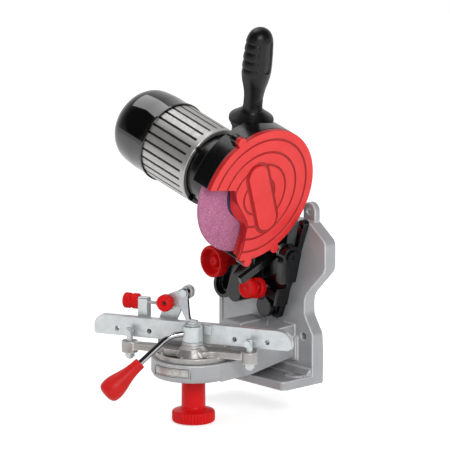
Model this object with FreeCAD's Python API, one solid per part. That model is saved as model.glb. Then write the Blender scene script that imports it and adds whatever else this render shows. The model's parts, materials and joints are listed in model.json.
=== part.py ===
"""Bench saw-chain grinder: tilting pull-down head over a swivelling chain vise.

Millimetres, +Z up. The origin is midway between the two bench slots, on the foot's lower face.
The operator stands on the -Y side. Four frames are used: the base frame, the bracket frame (upright,
about the tilt pivot), the head frame (upright, about the wheel's centre) and the vise frame (rails
along X, about the swivel axis). Each piece is drawn upright and then turned to its place at rest.
"""
import FreeCAD
import Part
import math
import os

V = FreeCAD.Vector

# Base casting
PLATE_FRONT_Y = 12.5
PLATE_THICK = 16.0
PLATE_SKIN = 6.0
PLATE_RIM = 6.0
PLATE_LEFT = -89.0
PLATE_WAIST = 50.0
PLATE_SHOULDER = 83.0
PLATE_TOP = 180.0
PANEL_WIDTH = 20.0
FOOT_RIGHT = 63.0
FOOT_FRONT_Y = -32.0
FOOT_THICK = 10.0
HEEL = 7.0
SLOT_LAND = 4.5
BENCH_SLOT_X = 48.5
BENCH_SLOT_LENGTH = 16.0
BENCH_SLOT_WIDTH = 8.0
WALL_HOLE_X = 48.5
WALL_HOLE_LOW_Z = 52.0
WALL_HOLE_HIGH_Z = 191.0
WALL_HOLE_R = 4.0
EAR_R = 9.5
EAR_THICK = 8.0
ARM_HALF = 35.0
ARM_BOTTOM = 28.0
ARM_TOP = 63.0
ARM_WALL = 6.0
CHANNEL = 13.0
VISE_Y = -105.0
SEAT_R = 46.0
SEAT_BOTTOM = 20.0
SEAT_TOP = 40.0
SCALE_THICK = 1.0
SCALE_HEIGHT = 9.0

# Tilt pivot, hinge and swing of the head
TILT_Z = 81.0
REST_TILT = 15.0
PIVOT_R = 6.0
BOSS_X = 3.0
BOSS_R = 11.5
BOSS_FRONT_Y = -5.0
LEG_FRONT_Y = 4.2
HINGE_Y = -2.0
HINGE_RISE = 71.7
HINGE_PIN_R = 5.0
HINGE_HEAD_R = 6.5
KNUCKLE_R = 10.5
CHEEK_R = 11.5
CHEEK_THICK = 10.0
CHEEK_RIGHT = 18.0
CHEEK_LEFT = -17.0
KNUCKLE_LEFT = -16.5
KNUCKLE_RIGHT = 8.5
SWING_RADIUS = 95.5
REST_SWING = 53.6
SWING_TRAVEL = 51.6
BRACKET_THICK = 8.0
LEG_TOP = 113.0
LEG_RIGHT = 31.5
LEG_WIDTH = 9.5
LEG_HOLE_R = 2.6

# Tilt slot and its lock
SLOT_ARC_R = 68.0
LOCK_ANGLE = 139.0
TILT_BACK = 15.0
TILT_ON = 30.0
LOCK_STUD_R = 4.0
LOCK_HUB_R = 8.5
LOCK_KNOB_R = 17.8
LOCK_KNOB_LENGTH = 12.0
LOCK_FRONT_Y = -34.0
SLOT_RIM = 4.5
SLOT_RIM_DEPTH = 5.0

# Depth stop
DEPTH_X = -8.0
DEPTH_FRONT_Y = -26.5
DEPTH_RISE = 21.3
DEPTH_LEAN = 10.0
DEPTH_KNOB_R = 11.5
DEPTH_KNOB_LENGTH = 10.0
DEPTH_SCREW_R = 4.0
DEPTH_SCREW_END = 38.5
TONGUE_START = 23.0
TONGUE_THICK = 3.5
TONGUE_WIDTH = 9.0
LOCK_NUT_R = 11.5
LOCK_NUT_START = 14.6
LOCK_NUT_LENGTH = 8.0
DEPTH_LUG_START = 31.0
FINGER_LEFT = 4.2
FINGER_RIGHT = 9.0
FINGER_THICK = 9.0

# Wheel, guard and motor
WHEEL_R = 72.5
WHEEL_THICK = 4.8
WHEEL_BORE_R = 11.1
BLOTTER_R = 33.5
BLOTTER_THICK = 0.4
FLANGE_R = 29.5
FLANGE_THICK = 4.2
NUT_THICK = 5.0
NUT_FLATS = 19.0
SHAFT_R = 6.0
GUARD_R = 77.0
GUARD_WALL = 3.2
GUARD_BACK = -13.0
GUARD_PLATE = 4.0
COVER_BACK = 11.0
COVER_FRONT = 17.0
COVER_WALL = 2.5
LIP_BACK = 7.6
RING_RADII = (67.7, 52.7, 38.0, 22.8)
RING_WIDTH = 2.4
RING_DEPTH = 1.3
BADGE_LENGTH = 86.0
BADGE_WIDTH = 25.0
BADGE_LEAN = 24.9
BADGE_MOAT = 4.0
LUG_ANGLES = (120.5, -60.2, -88.5)
LUG_RADIUS = 80.1
LUG_R = 5.5
LUG_LENGTH = 8.0
COVER_SCREW_R = 2.0
COVER_HEAD_R = 3.6
COVER_HEAD_LENGTH = 3.0
BELL_R = 39.0
BELL_WALL = 4.0
SWITCH_X = -38.5
SWITCH_PAD = 3.0
MOTOR_R = 45.0
MOTOR_WALL = 5.0
MOTOR_FRONT = -58.0
MOTOR_BACK = -127.0
MOTOR_RIM = 12.0
FIN_COUNT = 28
FIN_GAP = 2.6
FIN_DEPTH = 2.2
CAP_R = 46.0
CAP_LENGTH = 69.0
CAP_WALL = 3.0
CAP_LIP = 3.0
GLAND_R = 6.0
GLAND_BORE_R = 3.6
STATOR_BORE_R = 23.5
STACK_LENGTH = 36.0
STACK_FRONT = -72.0
FRONT_BEARING_R = 16.0
FRONT_BEARING_X = -44.0
FRONT_BEARING_WIDTH = 10.0
REAR_BEARING_R = 13.0
REAR_SHAFT_R = 5.0
REAR_BEARING_WIDTH = 8.0

# Handle
HANDLE_X = -28.0
HANDLE_Y = 11.8
HANDLE_RISE = 64.0
HANDLE_LEAN = 7.0
HANDLE_FLANGE_R = 24.0
HANDLE_LENGTH = 115.5
HANDLE_NECK_R = 11.0
HANDLE_STUD_R = 4.0
HANDLE_STUD_UP = 59.0
HANDLE_STUD_DOWN = 13.5
FINGER_GROOVE_R = 9.0
FINGER_PITCH = 9.9
FINGER_FIRST = 65.0
FINGER_AWAY = 24.3

# Vise
REST_SWIVEL = 25.6
DISC_R = 41.0
DISC_THICK = 6.0
BAR_TOP = 57.0
RAIL_LENGTH = 230.0
RAIL_HEIGHT = 21.5
RAIL_THICK = 4.0
RAIL_GAP = 1.6
RAIL_PIN_S = 70.0
RAIL_PIN_R = 2.5
RAIL_HOLES_S = (50.0, 88.0)
RAIL_HOLE_R = 2.6
STUD_W = -11.5
STUD_R = 3.4
STUD_BOSS_R = 9.0
CAM_S = 6.0
HUB_TOP = 60.0
CAM_PAD_S = 15.0
CAM_PAD_LENGTH = 9.0
CAM_PAD_W = 3.7
CAM_PAD_HEIGHT = 10.0
CAM_W = -17.4
CAM_R = 11.2
CAM_BOTTOM = 61.8
CAM_HEIGHT = 17.0
CAM_BOLT_R = 4.0
LEVER_ROD_R = 3.25
LEVER_REACH = 97.0
LEVER_DROP = 65.0
LEVER_AZIMUTH = -120.0
GRIP_LENGTH = 53.0
GRIP_R = 13.5
SWIVEL_STUD_R = 6.0
SWIVEL_SHAFT_R = 13.0
SWIVEL_FLANGE_R = 23.5
SWIVEL_FLANGE_HEIGHT = 13.0
SWIVEL_BOTTOM = -32.0

# Chain stop
STOP_ROD_W = 11.5
STOP_ROD_Z = 93.0
STOP_ROD_R = 2.0
STOP_TAB_S = -67.5
STOP_TAB_THICK = 11.0
STOP_STRIP = 3.0
STOP_KNOB_R = 8.6
STOP_KNOB_LENGTH = 18.0
CARRIAGE_S = -40.0
CARRIAGE_LENGTH = 13.0
STOP_LOCK_S = -33.0
STOP_LOCK_Z = 96.7
STOP_LOCK_R = 9.3
STOP_LOCK_LENGTH = 10.0
STOP_LOCK_SCREW_R = 2.0
PAWL_S = -10.5
PAWL_Z = 110.0
PAWL_HUB_R = 5.5
PAWL_PIN_R = 2.5
PAWL_WIDTH = 5.0
PAWL_TIP_S = 4.5
PAWL_TIP_Z = 79.0

# Fits
FIT = 0.03
RUN = 0.06
GAP = 0.3

# Places worked out from the sizes above
PLATE_BACK_Y = PLATE_FRONT_Y + PLATE_THICK
SKIN_BACK_Y = PLATE_FRONT_Y + PLATE_SKIN
BRACKET_BACK_Y = PLATE_FRONT_Y - GAP
BRACKET_FRONT_Y = BRACKET_BACK_Y - BRACKET_THICK
WHEEL_Y = HINGE_Y - SWING_RADIUS * math.cos(math.radians(REST_SWING))
WHEEL_RISE = HINGE_RISE + SWING_RADIUS * math.sin(math.radians(REST_SWING))
LOCK_X = SLOT_ARC_R * math.cos(math.radians(LOCK_ANGLE))
LOCK_Z = TILT_Z + SLOT_ARC_R * math.sin(math.radians(LOCK_ANGLE))
RAIL_TOP = BAR_TOP + RAIL_HEIGHT
WHEEL_FRONT = WHEEL_THICK / 2
FLANGE_BACK_X = WHEEL_FRONT + BLOTTER_THICK
NUT_BACK_X = FLANGE_BACK_X + FLANGE_THICK
REAR_RAIL_BACK = RAIL_GAP / 2 + RAIL_THICK


def outline(corners, axis, level):
    """A closed wire through corners (u, v, round), in the plane square to an axis."""
    place = {
        "x": lambda u, v: V(level, u, v),
        "y": lambda u, v: V(u, level, v),
        "z": lambda u, v: V(u, v, level),
    }[axis]
    points = [place(c[0], c[1]) for c in corners]
    rounds = [c[2] if len(c) > 2 else 0.0 for c in corners]
    ends = []
    for i, (here, r) in enumerate(zip(points, rounds)):
        back = (points[i - 1] - here).normalize()
        on = (points[(i + 1) % len(points)] - here).normalize()
        if r == 0:
            ends.append((here, None, here))
            continue
        half = back.getAngle(on) / 2
        reach = r / math.tan(half)
        middle = here + (back + on).normalize() * (r / math.sin(half) - r)
        ends.append((here + back * reach, middle, here + on * reach))
    edges = []
    for i, (start, middle, stop) in enumerate(ends):
        before = ends[i - 1][2]
        if before.distanceToPoint(start) > 1e-6:
            edges.append(Part.LineSegment(before, start).toShape())
        if middle is not None:
            edges.append(Part.Arc(start, middle, stop).toShape())
    return Part.Wire(Part.__sortEdges__(edges))


def prism(corners, axis, low, high):
    """A straight block with a cornered or rounded outline, from low to high along an axis."""
    way = {"x": V(1, 0, 0), "y": V(0, 1, 0), "z": V(0, 0, 1)}[axis]
    return Part.Face(outline(corners, axis, low)).extrude(way * (high - low))


def block(x0, x1, y0, y1, z0, z1):
    """A plain box between two corners."""
    return Part.makeBox(x1 - x0, y1 - y0, z1 - z0, V(x0, y0, z0))


def rod(radius, start, stop):
    """A cylinder from one point to another."""
    way = stop - start
    return Part.makeCylinder(radius, way.Length, start, way)


def pipe_x(outer, inner, low, high):
    """A ring about the X axis."""
    ring = rod(outer, V(low, 0, 0), V(high, 0, 0))
    return ring.cut(rod(inner, V(low, 0, 0), V(high, 0, 0)))


def turned(corners, origin, way):
    """A solid of revolution from corners (along, radius, round) about a line."""
    profile = [(c[1], c[0]) + tuple(c[2:]) for c in corners]
    solid = Part.Face(outline(profile, "y", 0)).revolve(V(0, 0, 0), V(0, 0, 1), 360)
    solid.Placement = FreeCAD.Placement(origin, FreeCAD.Rotation(V(0, 0, 1), way))
    return solid


def sector(inner, outer, start, stop, low, high):
    """A piece of a flat ring in the XZ plane, between two angles, from low to high along Y."""
    ring = Part.makeCylinder(outer, high - low, V(0, high, 0), V(0, -1, 0), stop - start)
    ring = ring.cut(rod(inner, V(0, high, 0), V(0, low, 0)))
    first = ring.BoundBox.Center
    turn = math.degrees(math.atan2(first.z, first.x))
    ring.rotate(V(0, 0, 0), V(0, -1, 0), (start + stop) / 2 - turn)
    return ring


def arc_point(radius, angle, y):
    """A point on a circle in the XZ plane."""
    a = math.radians(angle)
    return V(radius * math.cos(a), y, radius * math.sin(a))


def fluted(radius, depth, count, length):
    """A hand wheel along +Z with straight flutes."""
    step = 2 * math.pi / count
    corners = []
    for i in range(count):
        for share, r in ((0.0, radius), (0.5, radius), (0.62, radius - depth), (0.88, radius - depth)):
            a = (i + share) * step
            corners.append((r * math.cos(a), r * math.sin(a)))
    return prism(corners, "z", 0, length)


def hexagon(flats, length):
    """A six-sided bar along +Z."""
    r = flats / math.sqrt(3)
    turns = [math.radians(60 * i) for i in range(6)]
    return prism([(r * math.cos(a), r * math.sin(a)) for a in turns], "z", 0, length)


def aim(shape, origin, way):
    """Turn a shape drawn along +Z so that it starts at a point and runs along a direction."""
    shape.Placement = FreeCAD.Placement(origin, FreeCAD.Rotation(V(0, 0, 1), way))
    return shape


def fuse(*shapes):
    """One solid from touching shapes."""
    return shapes[0].multiFuse(list(shapes[1:]))


def to_bracket(shape):
    """From the bracket frame to the base frame, at the resting tilt."""
    moved = shape.copy()
    moved.translate(V(0, 0, TILT_Z))
    moved.rotate(V(0, 0, TILT_Z), V(0, 1, 0), REST_TILT)
    return moved


def to_head(shape):
    """From the head frame to the base frame, with the head raised."""
    moved = shape.copy()
    moved.translate(V(0, WHEEL_Y, WHEEL_RISE))
    return to_bracket(moved)


def to_vise(shape):
    """From the vise frame to the base frame, at the resting swivel."""
    moved = shape.copy()
    moved.rotate(V(0, 0, 0), V(0, 0, 1), REST_SWIVEL)
    moved.translate(V(0, VISE_Y, 0))
    return moved


def plate_corners():
    """The back plate's outline in the XZ plane, waisted on its right side only."""
    return [
        (PLATE_LEFT, 0, 2),
        (FOOT_RIGHT, 0, 2),
        (FOOT_RIGHT, 56, 8),
        (PLATE_WAIST, 76, 14),
        (PLATE_WAIST, 97, 20),
        (PLATE_SHOULDER, 130, 14),
        (PLATE_SHOULDER, PLATE_TOP - 18, 10),
        (PLATE_SHOULDER - 25, PLATE_TOP, 8),
        (PLATE_LEFT + 25, PLATE_TOP, 8),
        (PLATE_LEFT, PLATE_TOP - 18, 8),
    ]


def base_plate():
    """The upright plate: a skin with a rim, ribs and bosses on its open back."""
    solid = prism(plate_corners(), "y", PLATE_FRONT_Y, PLATE_BACK_Y)
    inner = outline(plate_corners(), "y", SKIN_BACK_Y).makeOffset2D(-PLATE_RIM)
    pocket = Part.Face(inner).extrude(V(0, PLATE_THICK - PLATE_SKIN, 0))
    for x in (-ARM_HALF, ARM_HALF - PLATE_RIM):
        pocket = pocket.cut(block(x, x + PLATE_RIM, SKIN_BACK_Y, PLATE_BACK_Y, 0, PLATE_TOP))
    for x, z, r in (
        (LOCK_X, LOCK_Z, LOCK_STUD_R + 7),
        (-WALL_HOLE_X, WALL_HOLE_LOW_Z, WALL_HOLE_R + 6),
        (WALL_HOLE_X, WALL_HOLE_LOW_Z, WALL_HOLE_R + 6),
    ):
        pocket = pocket.cut(rod(r, V(x, SKIN_BACK_Y, z), V(x, PLATE_BACK_Y, z)))
    solid = solid.cut(pocket)
    left, right = PLATE_LEFT + PLATE_RIM, PLATE_LEFT + PLATE_RIM + PANEL_WIDTH
    low, high = ARM_BOTTOM - 2, PLATE_TOP - 30
    panel = [(left, low, 2), (right, low, 2), (right, high, 2), (left, high, 2)]
    return solid.cut(prism(panel, "y", PLATE_FRONT_Y, PLATE_FRONT_Y + 0.8))


def wall_ear(x):
    """One of the two ears at the top of the plate, with its round end about the wall hole."""
    low = PLATE_TOP - 14
    back, front = PLATE_BACK_Y, PLATE_BACK_Y - EAR_THICK
    ear = block(x - EAR_R, x + EAR_R, front, back, low, WALL_HOLE_HIGH_Z)
    return ear.fuse(rod(EAR_R, V(x, front, WALL_HOLE_HIGH_Z), V(x, back, WALL_HOLE_HIGH_Z)))


def slot_outline(x, length, width, low, high):
    """An upright block with a slot's outline, long along X, on the bench slots' line."""
    r = width / 2
    half = length / 2
    turn = r * 0.999
    sides = ((-half, -r), (half, -r), (half, r), (-half, r))
    return prism([(x + u, v, turn) for u, v in sides], "z", low, high)


def base_foot():
    """The foot that stands on the bench, with raised lands round its slots and a heel to the plate."""
    corners = [
        (PLATE_LEFT, FOOT_FRONT_Y, 5),
        (FOOT_RIGHT, FOOT_FRONT_Y, 5),
        (FOOT_RIGHT, PLATE_BACK_Y, 1),
        (PLATE_LEFT, PLATE_BACK_Y, 1),
    ]
    foot = prism(corners, "z", 0, FOOT_THICK)
    front, top = PLATE_FRONT_Y, FOOT_THICK
    heel = [(front + 1, top - 1), (front - HEEL, top), (front, top + HEEL), (front + 1, top + HEEL)]
    foot = foot.fuse(prism(heel, "x", PLATE_LEFT + 3, FOOT_RIGHT - 3))
    for x in (-BENCH_SLOT_X, BENCH_SLOT_X):
        length, width = BENCH_SLOT_LENGTH + 2 * SLOT_LAND, BENCH_SLOT_WIDTH + 2 * SLOT_LAND
        foot = foot.fuse(slot_outline(x, length, width, top - 1, top + 2))
    return foot


def base_arm():
    """The arm from the plate to the round seat, hollow underneath, with a channel under the tilt boss."""
    seat_back = VISE_Y + SEAT_R + 3
    root = PLATE_FRONT_Y + 1
    plan = [(-ARM_HALF, root), (ARM_HALF, root), (SEAT_R, VISE_Y), (-SEAT_R, VISE_Y)]
    side = [
        (root, ARM_BOTTOM),
        (root, ARM_TOP),
        (PLATE_FRONT_Y - 38, ARM_TOP, 8),
        (seat_back, SEAT_TOP, 8),
        (VISE_Y, SEAT_TOP),
        (VISE_Y, SEAT_BOTTOM),
        (seat_back, SEAT_BOTTOM, 8),
    ]
    arm = prism(plan, "z", SEAT_BOTTOM, ARM_TOP).common(prism(side, "x", -SEAT_R, SEAT_R))
    front, right = PLATE_FRONT_Y - 60, BOSS_X + BOSS_R + 4
    channel = block(-9, right, front, PLATE_FRONT_Y, ARM_TOP - CHANNEL, ARM_TOP + 1)
    half = ARM_HALF - ARM_WALL
    inside = block(-half, half, seat_back + ARM_WALL, PLATE_FRONT_Y - ARM_WALL, 0, SEAT_TOP - ARM_WALL)
    low, high = SEAT_BOTTOM, SEAT_TOP
    bowl = [(low, 0), (low, SEAT_R - 3, 3), (low + 5, SEAT_R, 2), (high, SEAT_R), (high, 0)]
    seat = turned(bowl, V(0, VISE_Y, 0), V(0, 0, 1))
    half = ARM_HALF + 5
    frame = block(-half, half, PLATE_FRONT_Y - 4, root, ARM_BOTTOM - 4, ARM_TOP - CHANNEL)
    return fuse(arm.cut(channel), seat, frame).cut(inside)


def scale_band(inner, outer, slack):
    """The curved band on the seat's rim that carries the swivel scale."""
    middle = SEAT_TOP - 8.5
    half = SCALE_HEIGHT / 2 + slack
    band = Part.makeCylinder(outer, 2 * half, V(0, 0, middle - half), V(0, 0, 1), 58 + slack)
    band = band.cut(rod(inner, V(0, 0, middle - half), V(0, 0, middle + half)))
    band.rotate(V(0, 0, 0), V(0, 0, 1), -105 - slack / 2)
    band.translate(V(0, VISE_Y, 0))
    return band


def base_pieces():
    """The base casting, its scale and the bolt that the tilt bracket turns on."""
    ears = [wall_ear(x) for x in (-WALL_HOLE_X, WALL_HOLE_X)]
    casting = fuse(base_plate(), *ears, base_foot(), base_arm())
    cuts = []
    for x in (-BENCH_SLOT_X, BENCH_SLOT_X):
        cuts.append(slot_outline(x, BENCH_SLOT_LENGTH, BENCH_SLOT_WIDTH, -1, FOOT_THICK + 3))
    for x in (-WALL_HOLE_X, WALL_HOLE_X):
        for z in (WALL_HOLE_LOW_Z, WALL_HOLE_HIGH_Z):
            cuts.append(rod(WALL_HOLE_R, V(x, PLATE_FRONT_Y - 1, z), V(x, PLATE_BACK_Y + 1, z)))
    cuts.append(rod(PIVOT_R + FIT, V(0, PLATE_FRONT_Y - 1, TILT_Z), V(0, PLATE_BACK_Y, TILT_Z)))
    cuts.append(rod(LOCK_STUD_R + RUN, V(LOCK_X, PLATE_FRONT_Y - 1, LOCK_Z), V(LOCK_X, PLATE_BACK_Y, LOCK_Z)))
    cuts.append(rod(SWIVEL_STUD_R + RUN, V(0, VISE_Y, SEAT_BOTTOM - 1), V(0, VISE_Y, SEAT_TOP + 1)))
    cuts.append(scale_band(SEAT_R - SCALE_THICK, SEAT_R + 1, 0.2))
    for cut in cuts:
        casting = casting.cut(cut)
    bolt = rod(PIVOT_R, V(0, BOSS_FRONT_Y + 4, TILT_Z), V(0, SKIN_BACK_Y + 1, TILT_Z))
    head = aim(hexagon(3 * PIVOT_R, 6), V(0, SKIN_BACK_Y, TILT_Z), V(0, 1, 0))
    return {
        "base_casting": casting,
        "swivel_scale": scale_band(SEAT_R - SCALE_THICK, SEAT_R, 0),
        "tilt_pivot_bolt": fuse(bolt, head),
    }


def tilt_lock_pieces():
    """The red knob that clamps the bracket, and its stud in the plate's boss."""
    floor_y = BRACKET_FRONT_Y - 2
    head_back = LOCK_FRONT_Y + LOCK_KNOB_LENGTH
    wheel = aim(fluted(LOCK_KNOB_R, 0.8, 32, LOCK_KNOB_LENGTH), V(0, LOCK_FRONT_Y, 0), V(0, 1, 0))
    hub_front = floor_y - GAP - head_back
    hub = [
        (0, 0),
        (hub_front, 0),
        (hub_front, LOCK_HUB_R),
        (hub_front - 9, LOCK_HUB_R),
        (0, LOCK_HUB_R + 4),
    ]
    knob = fuse(wheel, turned(hub, V(0, head_back, 0), V(0, 1, 0)))
    floor, rim = LOCK_KNOB_LENGTH - 3, LOCK_KNOB_R - 3
    dish = [(0, 0), (floor - 3, 0), (floor - 3, 6), (floor, 7), (floor, rim - 3), (0, rim)]
    cup = turned(dish, V(0, LOCK_FRONT_Y, 0), V(0, 1, 0))
    stud_front = head_back + 2
    knob = knob.cut(cup).cut(rod(LOCK_STUD_R + FIT, V(0, stud_front - FIT, 0), V(0, floor_y, 0)))
    pieces = {
        "tilt_lock_knob": knob,
        "tilt_lock_stud": rod(LOCK_STUD_R, V(0, stud_front, 0), V(0, PLATE_BACK_Y - 1.5, 0)),
    }
    for shape in pieces.values():
        shape.translate(V(LOCK_X, 0, LOCK_Z))
    return pieces


def swivel_lock_pieces():
    """The red knob under the vise and the stud that draws the turntable down on its seat."""
    flange_top = SWIVEL_BOTTOM + SWIVEL_FLANGE_HEIGHT
    shaft_top = SEAT_BOTTOM - GAP
    wheel = fluted(SWIVEL_FLANGE_R, 0.9, 40, SWIVEL_FLANGE_HEIGHT)
    wheel.translate(V(0, 0, SWIVEL_BOTTOM))
    shaft = [
        (flange_top - 2, 0),
        (shaft_top, 0),
        (shaft_top, SWIVEL_SHAFT_R),
        (flange_top + 3, SWIVEL_SHAFT_R, 3),
        (flange_top - 2, SWIVEL_SHAFT_R + 5),
    ]
    knob = fuse(wheel, turned(shaft, V(0, 0, 0), V(0, 0, 1)))
    stud_low = flange_top
    stud_top = SEAT_TOP + DISC_THICK + 4
    pieces = {
        "swivel_lock_knob": knob.cut(rod(SWIVEL_STUD_R + FIT, V(0, 0, stud_low - FIT), V(0, 0, stud_top))),
        "swivel_stud": rod(SWIVEL_STUD_R, V(0, 0, stud_low), V(0, 0, stud_top)),
    }
    for shape in pieces.values():
        shape.translate(V(0, VISE_Y, 0))
    return pieces


def depth_way():
    """The direction of the depth screw, from its knob to the bracket."""
    a = math.radians(DEPTH_LEAN)
    return V(0, math.cos(a), -math.sin(a))


def depth_point(along):
    """A point on the depth screw's line, measured from the knob's front."""
    return V(DEPTH_X, DEPTH_FRONT_Y, DEPTH_RISE) + depth_way() * along


def slot_plate():
    """The arc slot plate with its raised rim, in the bracket frame."""
    low = LOCK_ANGLE + REST_TILT - TILT_BACK - 2
    high = LOCK_ANGLE + REST_TILT + TILT_ON + 2
    half = LOCK_STUD_R + 0.6
    floor_y = BRACKET_FRONT_Y - 2
    rim_y = floor_y - SLOT_RIM_DEPTH
    land = LOCK_HUB_R + 1
    outer = land + SLOT_RIM
    end = arc_point(SLOT_ARC_R, high, 0)
    plate = sector(SLOT_ARC_R - outer, SLOT_ARC_R + outer, low - 8, high, rim_y, BRACKET_BACK_Y)
    plate = plate.fuse(rod(outer, end + V(0, rim_y, 0), end + V(0, BRACKET_BACK_Y, 0)))
    groove = sector(SLOT_ARC_R - land, SLOT_ARC_R + land, low - 9, high, rim_y - 1, floor_y)
    groove = groove.fuse(rod(land, end + V(0, rim_y - 1, 0), end + V(0, floor_y, 0)))
    slot = sector(SLOT_ARC_R - half, SLOT_ARC_R + half, low, high, floor_y - 1, BRACKET_BACK_Y + 1)
    for angle in (low, high):
        at = arc_point(SLOT_ARC_R, angle, 0)
        slot = slot.fuse(rod(half, at + V(0, floor_y - 1, 0), at + V(0, BRACKET_BACK_Y + 1, 0)))
    return plate, groove, slot


def cheek(low, high):
    """One hinge cheek, a wall from the tilt boss up to the hinge pin."""
    front = HINGE_Y - CHEEK_R
    side = [
        (BRACKET_BACK_Y, -6),
        (BRACKET_BACK_Y, HINGE_RISE + 2),
        (front, HINGE_RISE),
        (BOSS_FRONT_Y, 2),
        (BOSS_FRONT_Y, -6),
    ]
    wall = prism(side, "x", low, high)
    return wall.fuse(rod(CHEEK_R, V(low, HINGE_Y, HINGE_RISE), V(high, HINGE_Y, HINGE_RISE)))


def tilt_bracket():
    """The black casting that tilts on the plate and carries the hinge, the slot and the depth stop."""
    right = CHEEK_RIGHT + CHEEK_THICK
    left = CHEEK_LEFT - CHEEK_THICK
    window = HINGE_RISE - KNUCKLE_R - 4
    web = [
        (BOSS_X - BOSS_R + 1, -6, 6),
        (BOSS_X + BOSS_R - 1, -8, 6),
        (CHEEK_RIGHT, 6, 4),
        (right, window, 3),
        (left, window, 3),
        (-46, 44, 6),
        (-48, 14, 6),
    ]
    boss = rod(BOSS_R, V(BOSS_X, BOSS_FRONT_Y, 0), V(BOSS_X, BRACKET_BACK_Y, 0))
    plate, groove, slot = slot_plate()
    rib = sector(27, 49, 122, 180, BRACKET_FRONT_Y - 17, BRACKET_BACK_Y)
    rib_end = arc_point(38, 180, 0)
    rib = rib.fuse(rod(11, rib_end + V(0, BRACKET_FRONT_Y - 17, 0), rib_end + V(0, BRACKET_BACK_Y, 0)))
    screw_boss = rod(DEPTH_SCREW_R + 5, depth_point(DEPTH_LUG_START), depth_point(DEPTH_LUG_START + 4))
    foot = BOSS_X + BOSS_R
    leg_corners = [
        (foot - 8, -10, 4),
        (foot + 4, -10, 5),
        (LEG_RIGHT, LEG_TOP, 4),
        (LEG_RIGHT - LEG_WIDTH, LEG_TOP, 3),
        (LEG_RIGHT - LEG_WIDTH, HINGE_RISE),
        (CHEEK_RIGHT, HINGE_RISE),
        (CHEEK_RIGHT, 30),
    ]
    leg = prism(leg_corners, "y", LEG_FRONT_Y, BRACKET_BACK_Y)
    hole_x, hole_z = LEG_RIGHT - LEG_WIDTH / 2, LEG_TOP - 7
    leg = leg.cut(rod(LEG_HOLE_R, V(hole_x, BOSS_FRONT_Y, hole_z), V(hole_x, BRACKET_BACK_Y + 1, hole_z)))
    guide_front = depth_point(TONGUE_START).y - 2
    guide = block(CHEEK_RIGHT, CHEEK_RIGHT + 4, guide_front, BRACKET_BACK_Y, DEPTH_RISE - 13, DEPTH_RISE + 8)
    wall = prism(web, "y", BRACKET_FRONT_Y, BRACKET_BACK_Y)
    left_cheek = cheek(left, CHEEK_LEFT)
    left_cheek = left_cheek.cut(block(left - 1, CHEEK_LEFT + 1, -40, BRACKET_BACK_Y + 1, -20, 30))
    right_cheek = cheek(CHEEK_RIGHT, right)
    right_cheek = right_cheek.cut(block(CHEEK_RIGHT - 1, right + 1, -40, BRACKET_BACK_Y + 1, -20, 38))
    nut_room = rod(LOCK_NUT_R + 2 * GAP, depth_point(-5), depth_point(DEPTH_LUG_START))
    casting = fuse(wall, boss, plate.cut(groove), rib.cut(groove), leg, guide, left_cheek, right_cheek)
    casting = fuse(casting.cut(slot).cut(nut_room), screw_boss)
    casting = casting.cut(rod(PIVOT_R + RUN, V(0, BOSS_FRONT_Y + 4 - GAP, 0), V(0, BRACKET_BACK_Y + 1, 0)))
    hinge = V(0, HINGE_Y, HINGE_RISE)
    casting = casting.cut(rod(HINGE_PIN_R + FIT, hinge + V(left - 1, 0, 0), hinge + V(right + 1, 0, 0)))
    casting = casting.cut(rod(HINGE_HEAD_R + GAP, hinge + V(right, 0, 0), hinge + V(right + 8, 0, 0)))
    return casting.cut(rod(DEPTH_SCREW_R + RUN, depth_point(0), depth_point(DEPTH_SCREW_END + 1)))


def biarcs(points, ways):
    """A smooth wire of tangent arcs through points with given directions."""
    edges = []
    for (p, t), (q, s) in zip(zip(points, ways), zip(points[1:], ways[1:])):
        chord = q - p
        both = t + s
        a = 2 * (1 - t.dot(s))
        b = 2 * chord.dot(both)
        c = -chord.dot(chord)
        d = -c / b if abs(a) < 1e-9 else (-b + math.sqrt(b * b - 4 * a * c)) / (2 * a)
        first, last = p + t * d, q - s * d
        joint = (first + last) * 0.5
        for start, knee, stop in ((p, first, joint), (joint, last, q)):
            middle = (start + stop) * 0.5
            cosine = start.distanceToPoint(middle) / start.distanceToPoint(knee)
            crest = middle + (knee - middle) * (cosine / (1 + cosine))
            edges.append(Part.Arc(start, crest, stop).toShape())
    return Part.Wire(edges)


def return_spring():
    """The torsion spring round the hinge pin that lifts the head, one unbroken wire."""
    wire_r, quarters = 0.9, 11
    coil_r = HINGE_PIN_R + 1.2 + wire_r
    first = KNUCKLE_RIGHT + 0.6 + wire_r
    last = CHEEK_RIGHT - 0.4 - wire_r
    pitch = 4 * (last - first) / quarters
    print("return spring: gap between turns", round(pitch - 2 * wire_r, 2), "mm")
    points, ways = [], []
    for i in range(quarters + 1):
        a = math.radians(90 * i)
        along = first + pitch * i / 4
        points.append(V(along, HINGE_Y + coil_r * math.cos(a), HINGE_RISE + coil_r * math.sin(a)))
        ways.append(V(pitch / (2 * math.pi), -coil_r * math.sin(a), coil_r * math.cos(a)).normalize())
    path = biarcs(points, ways)
    section = Part.Wire(Part.makeCircle(wire_r, points[0], ways[0]))
    return path.makePipeShell([section], True, False)


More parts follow.
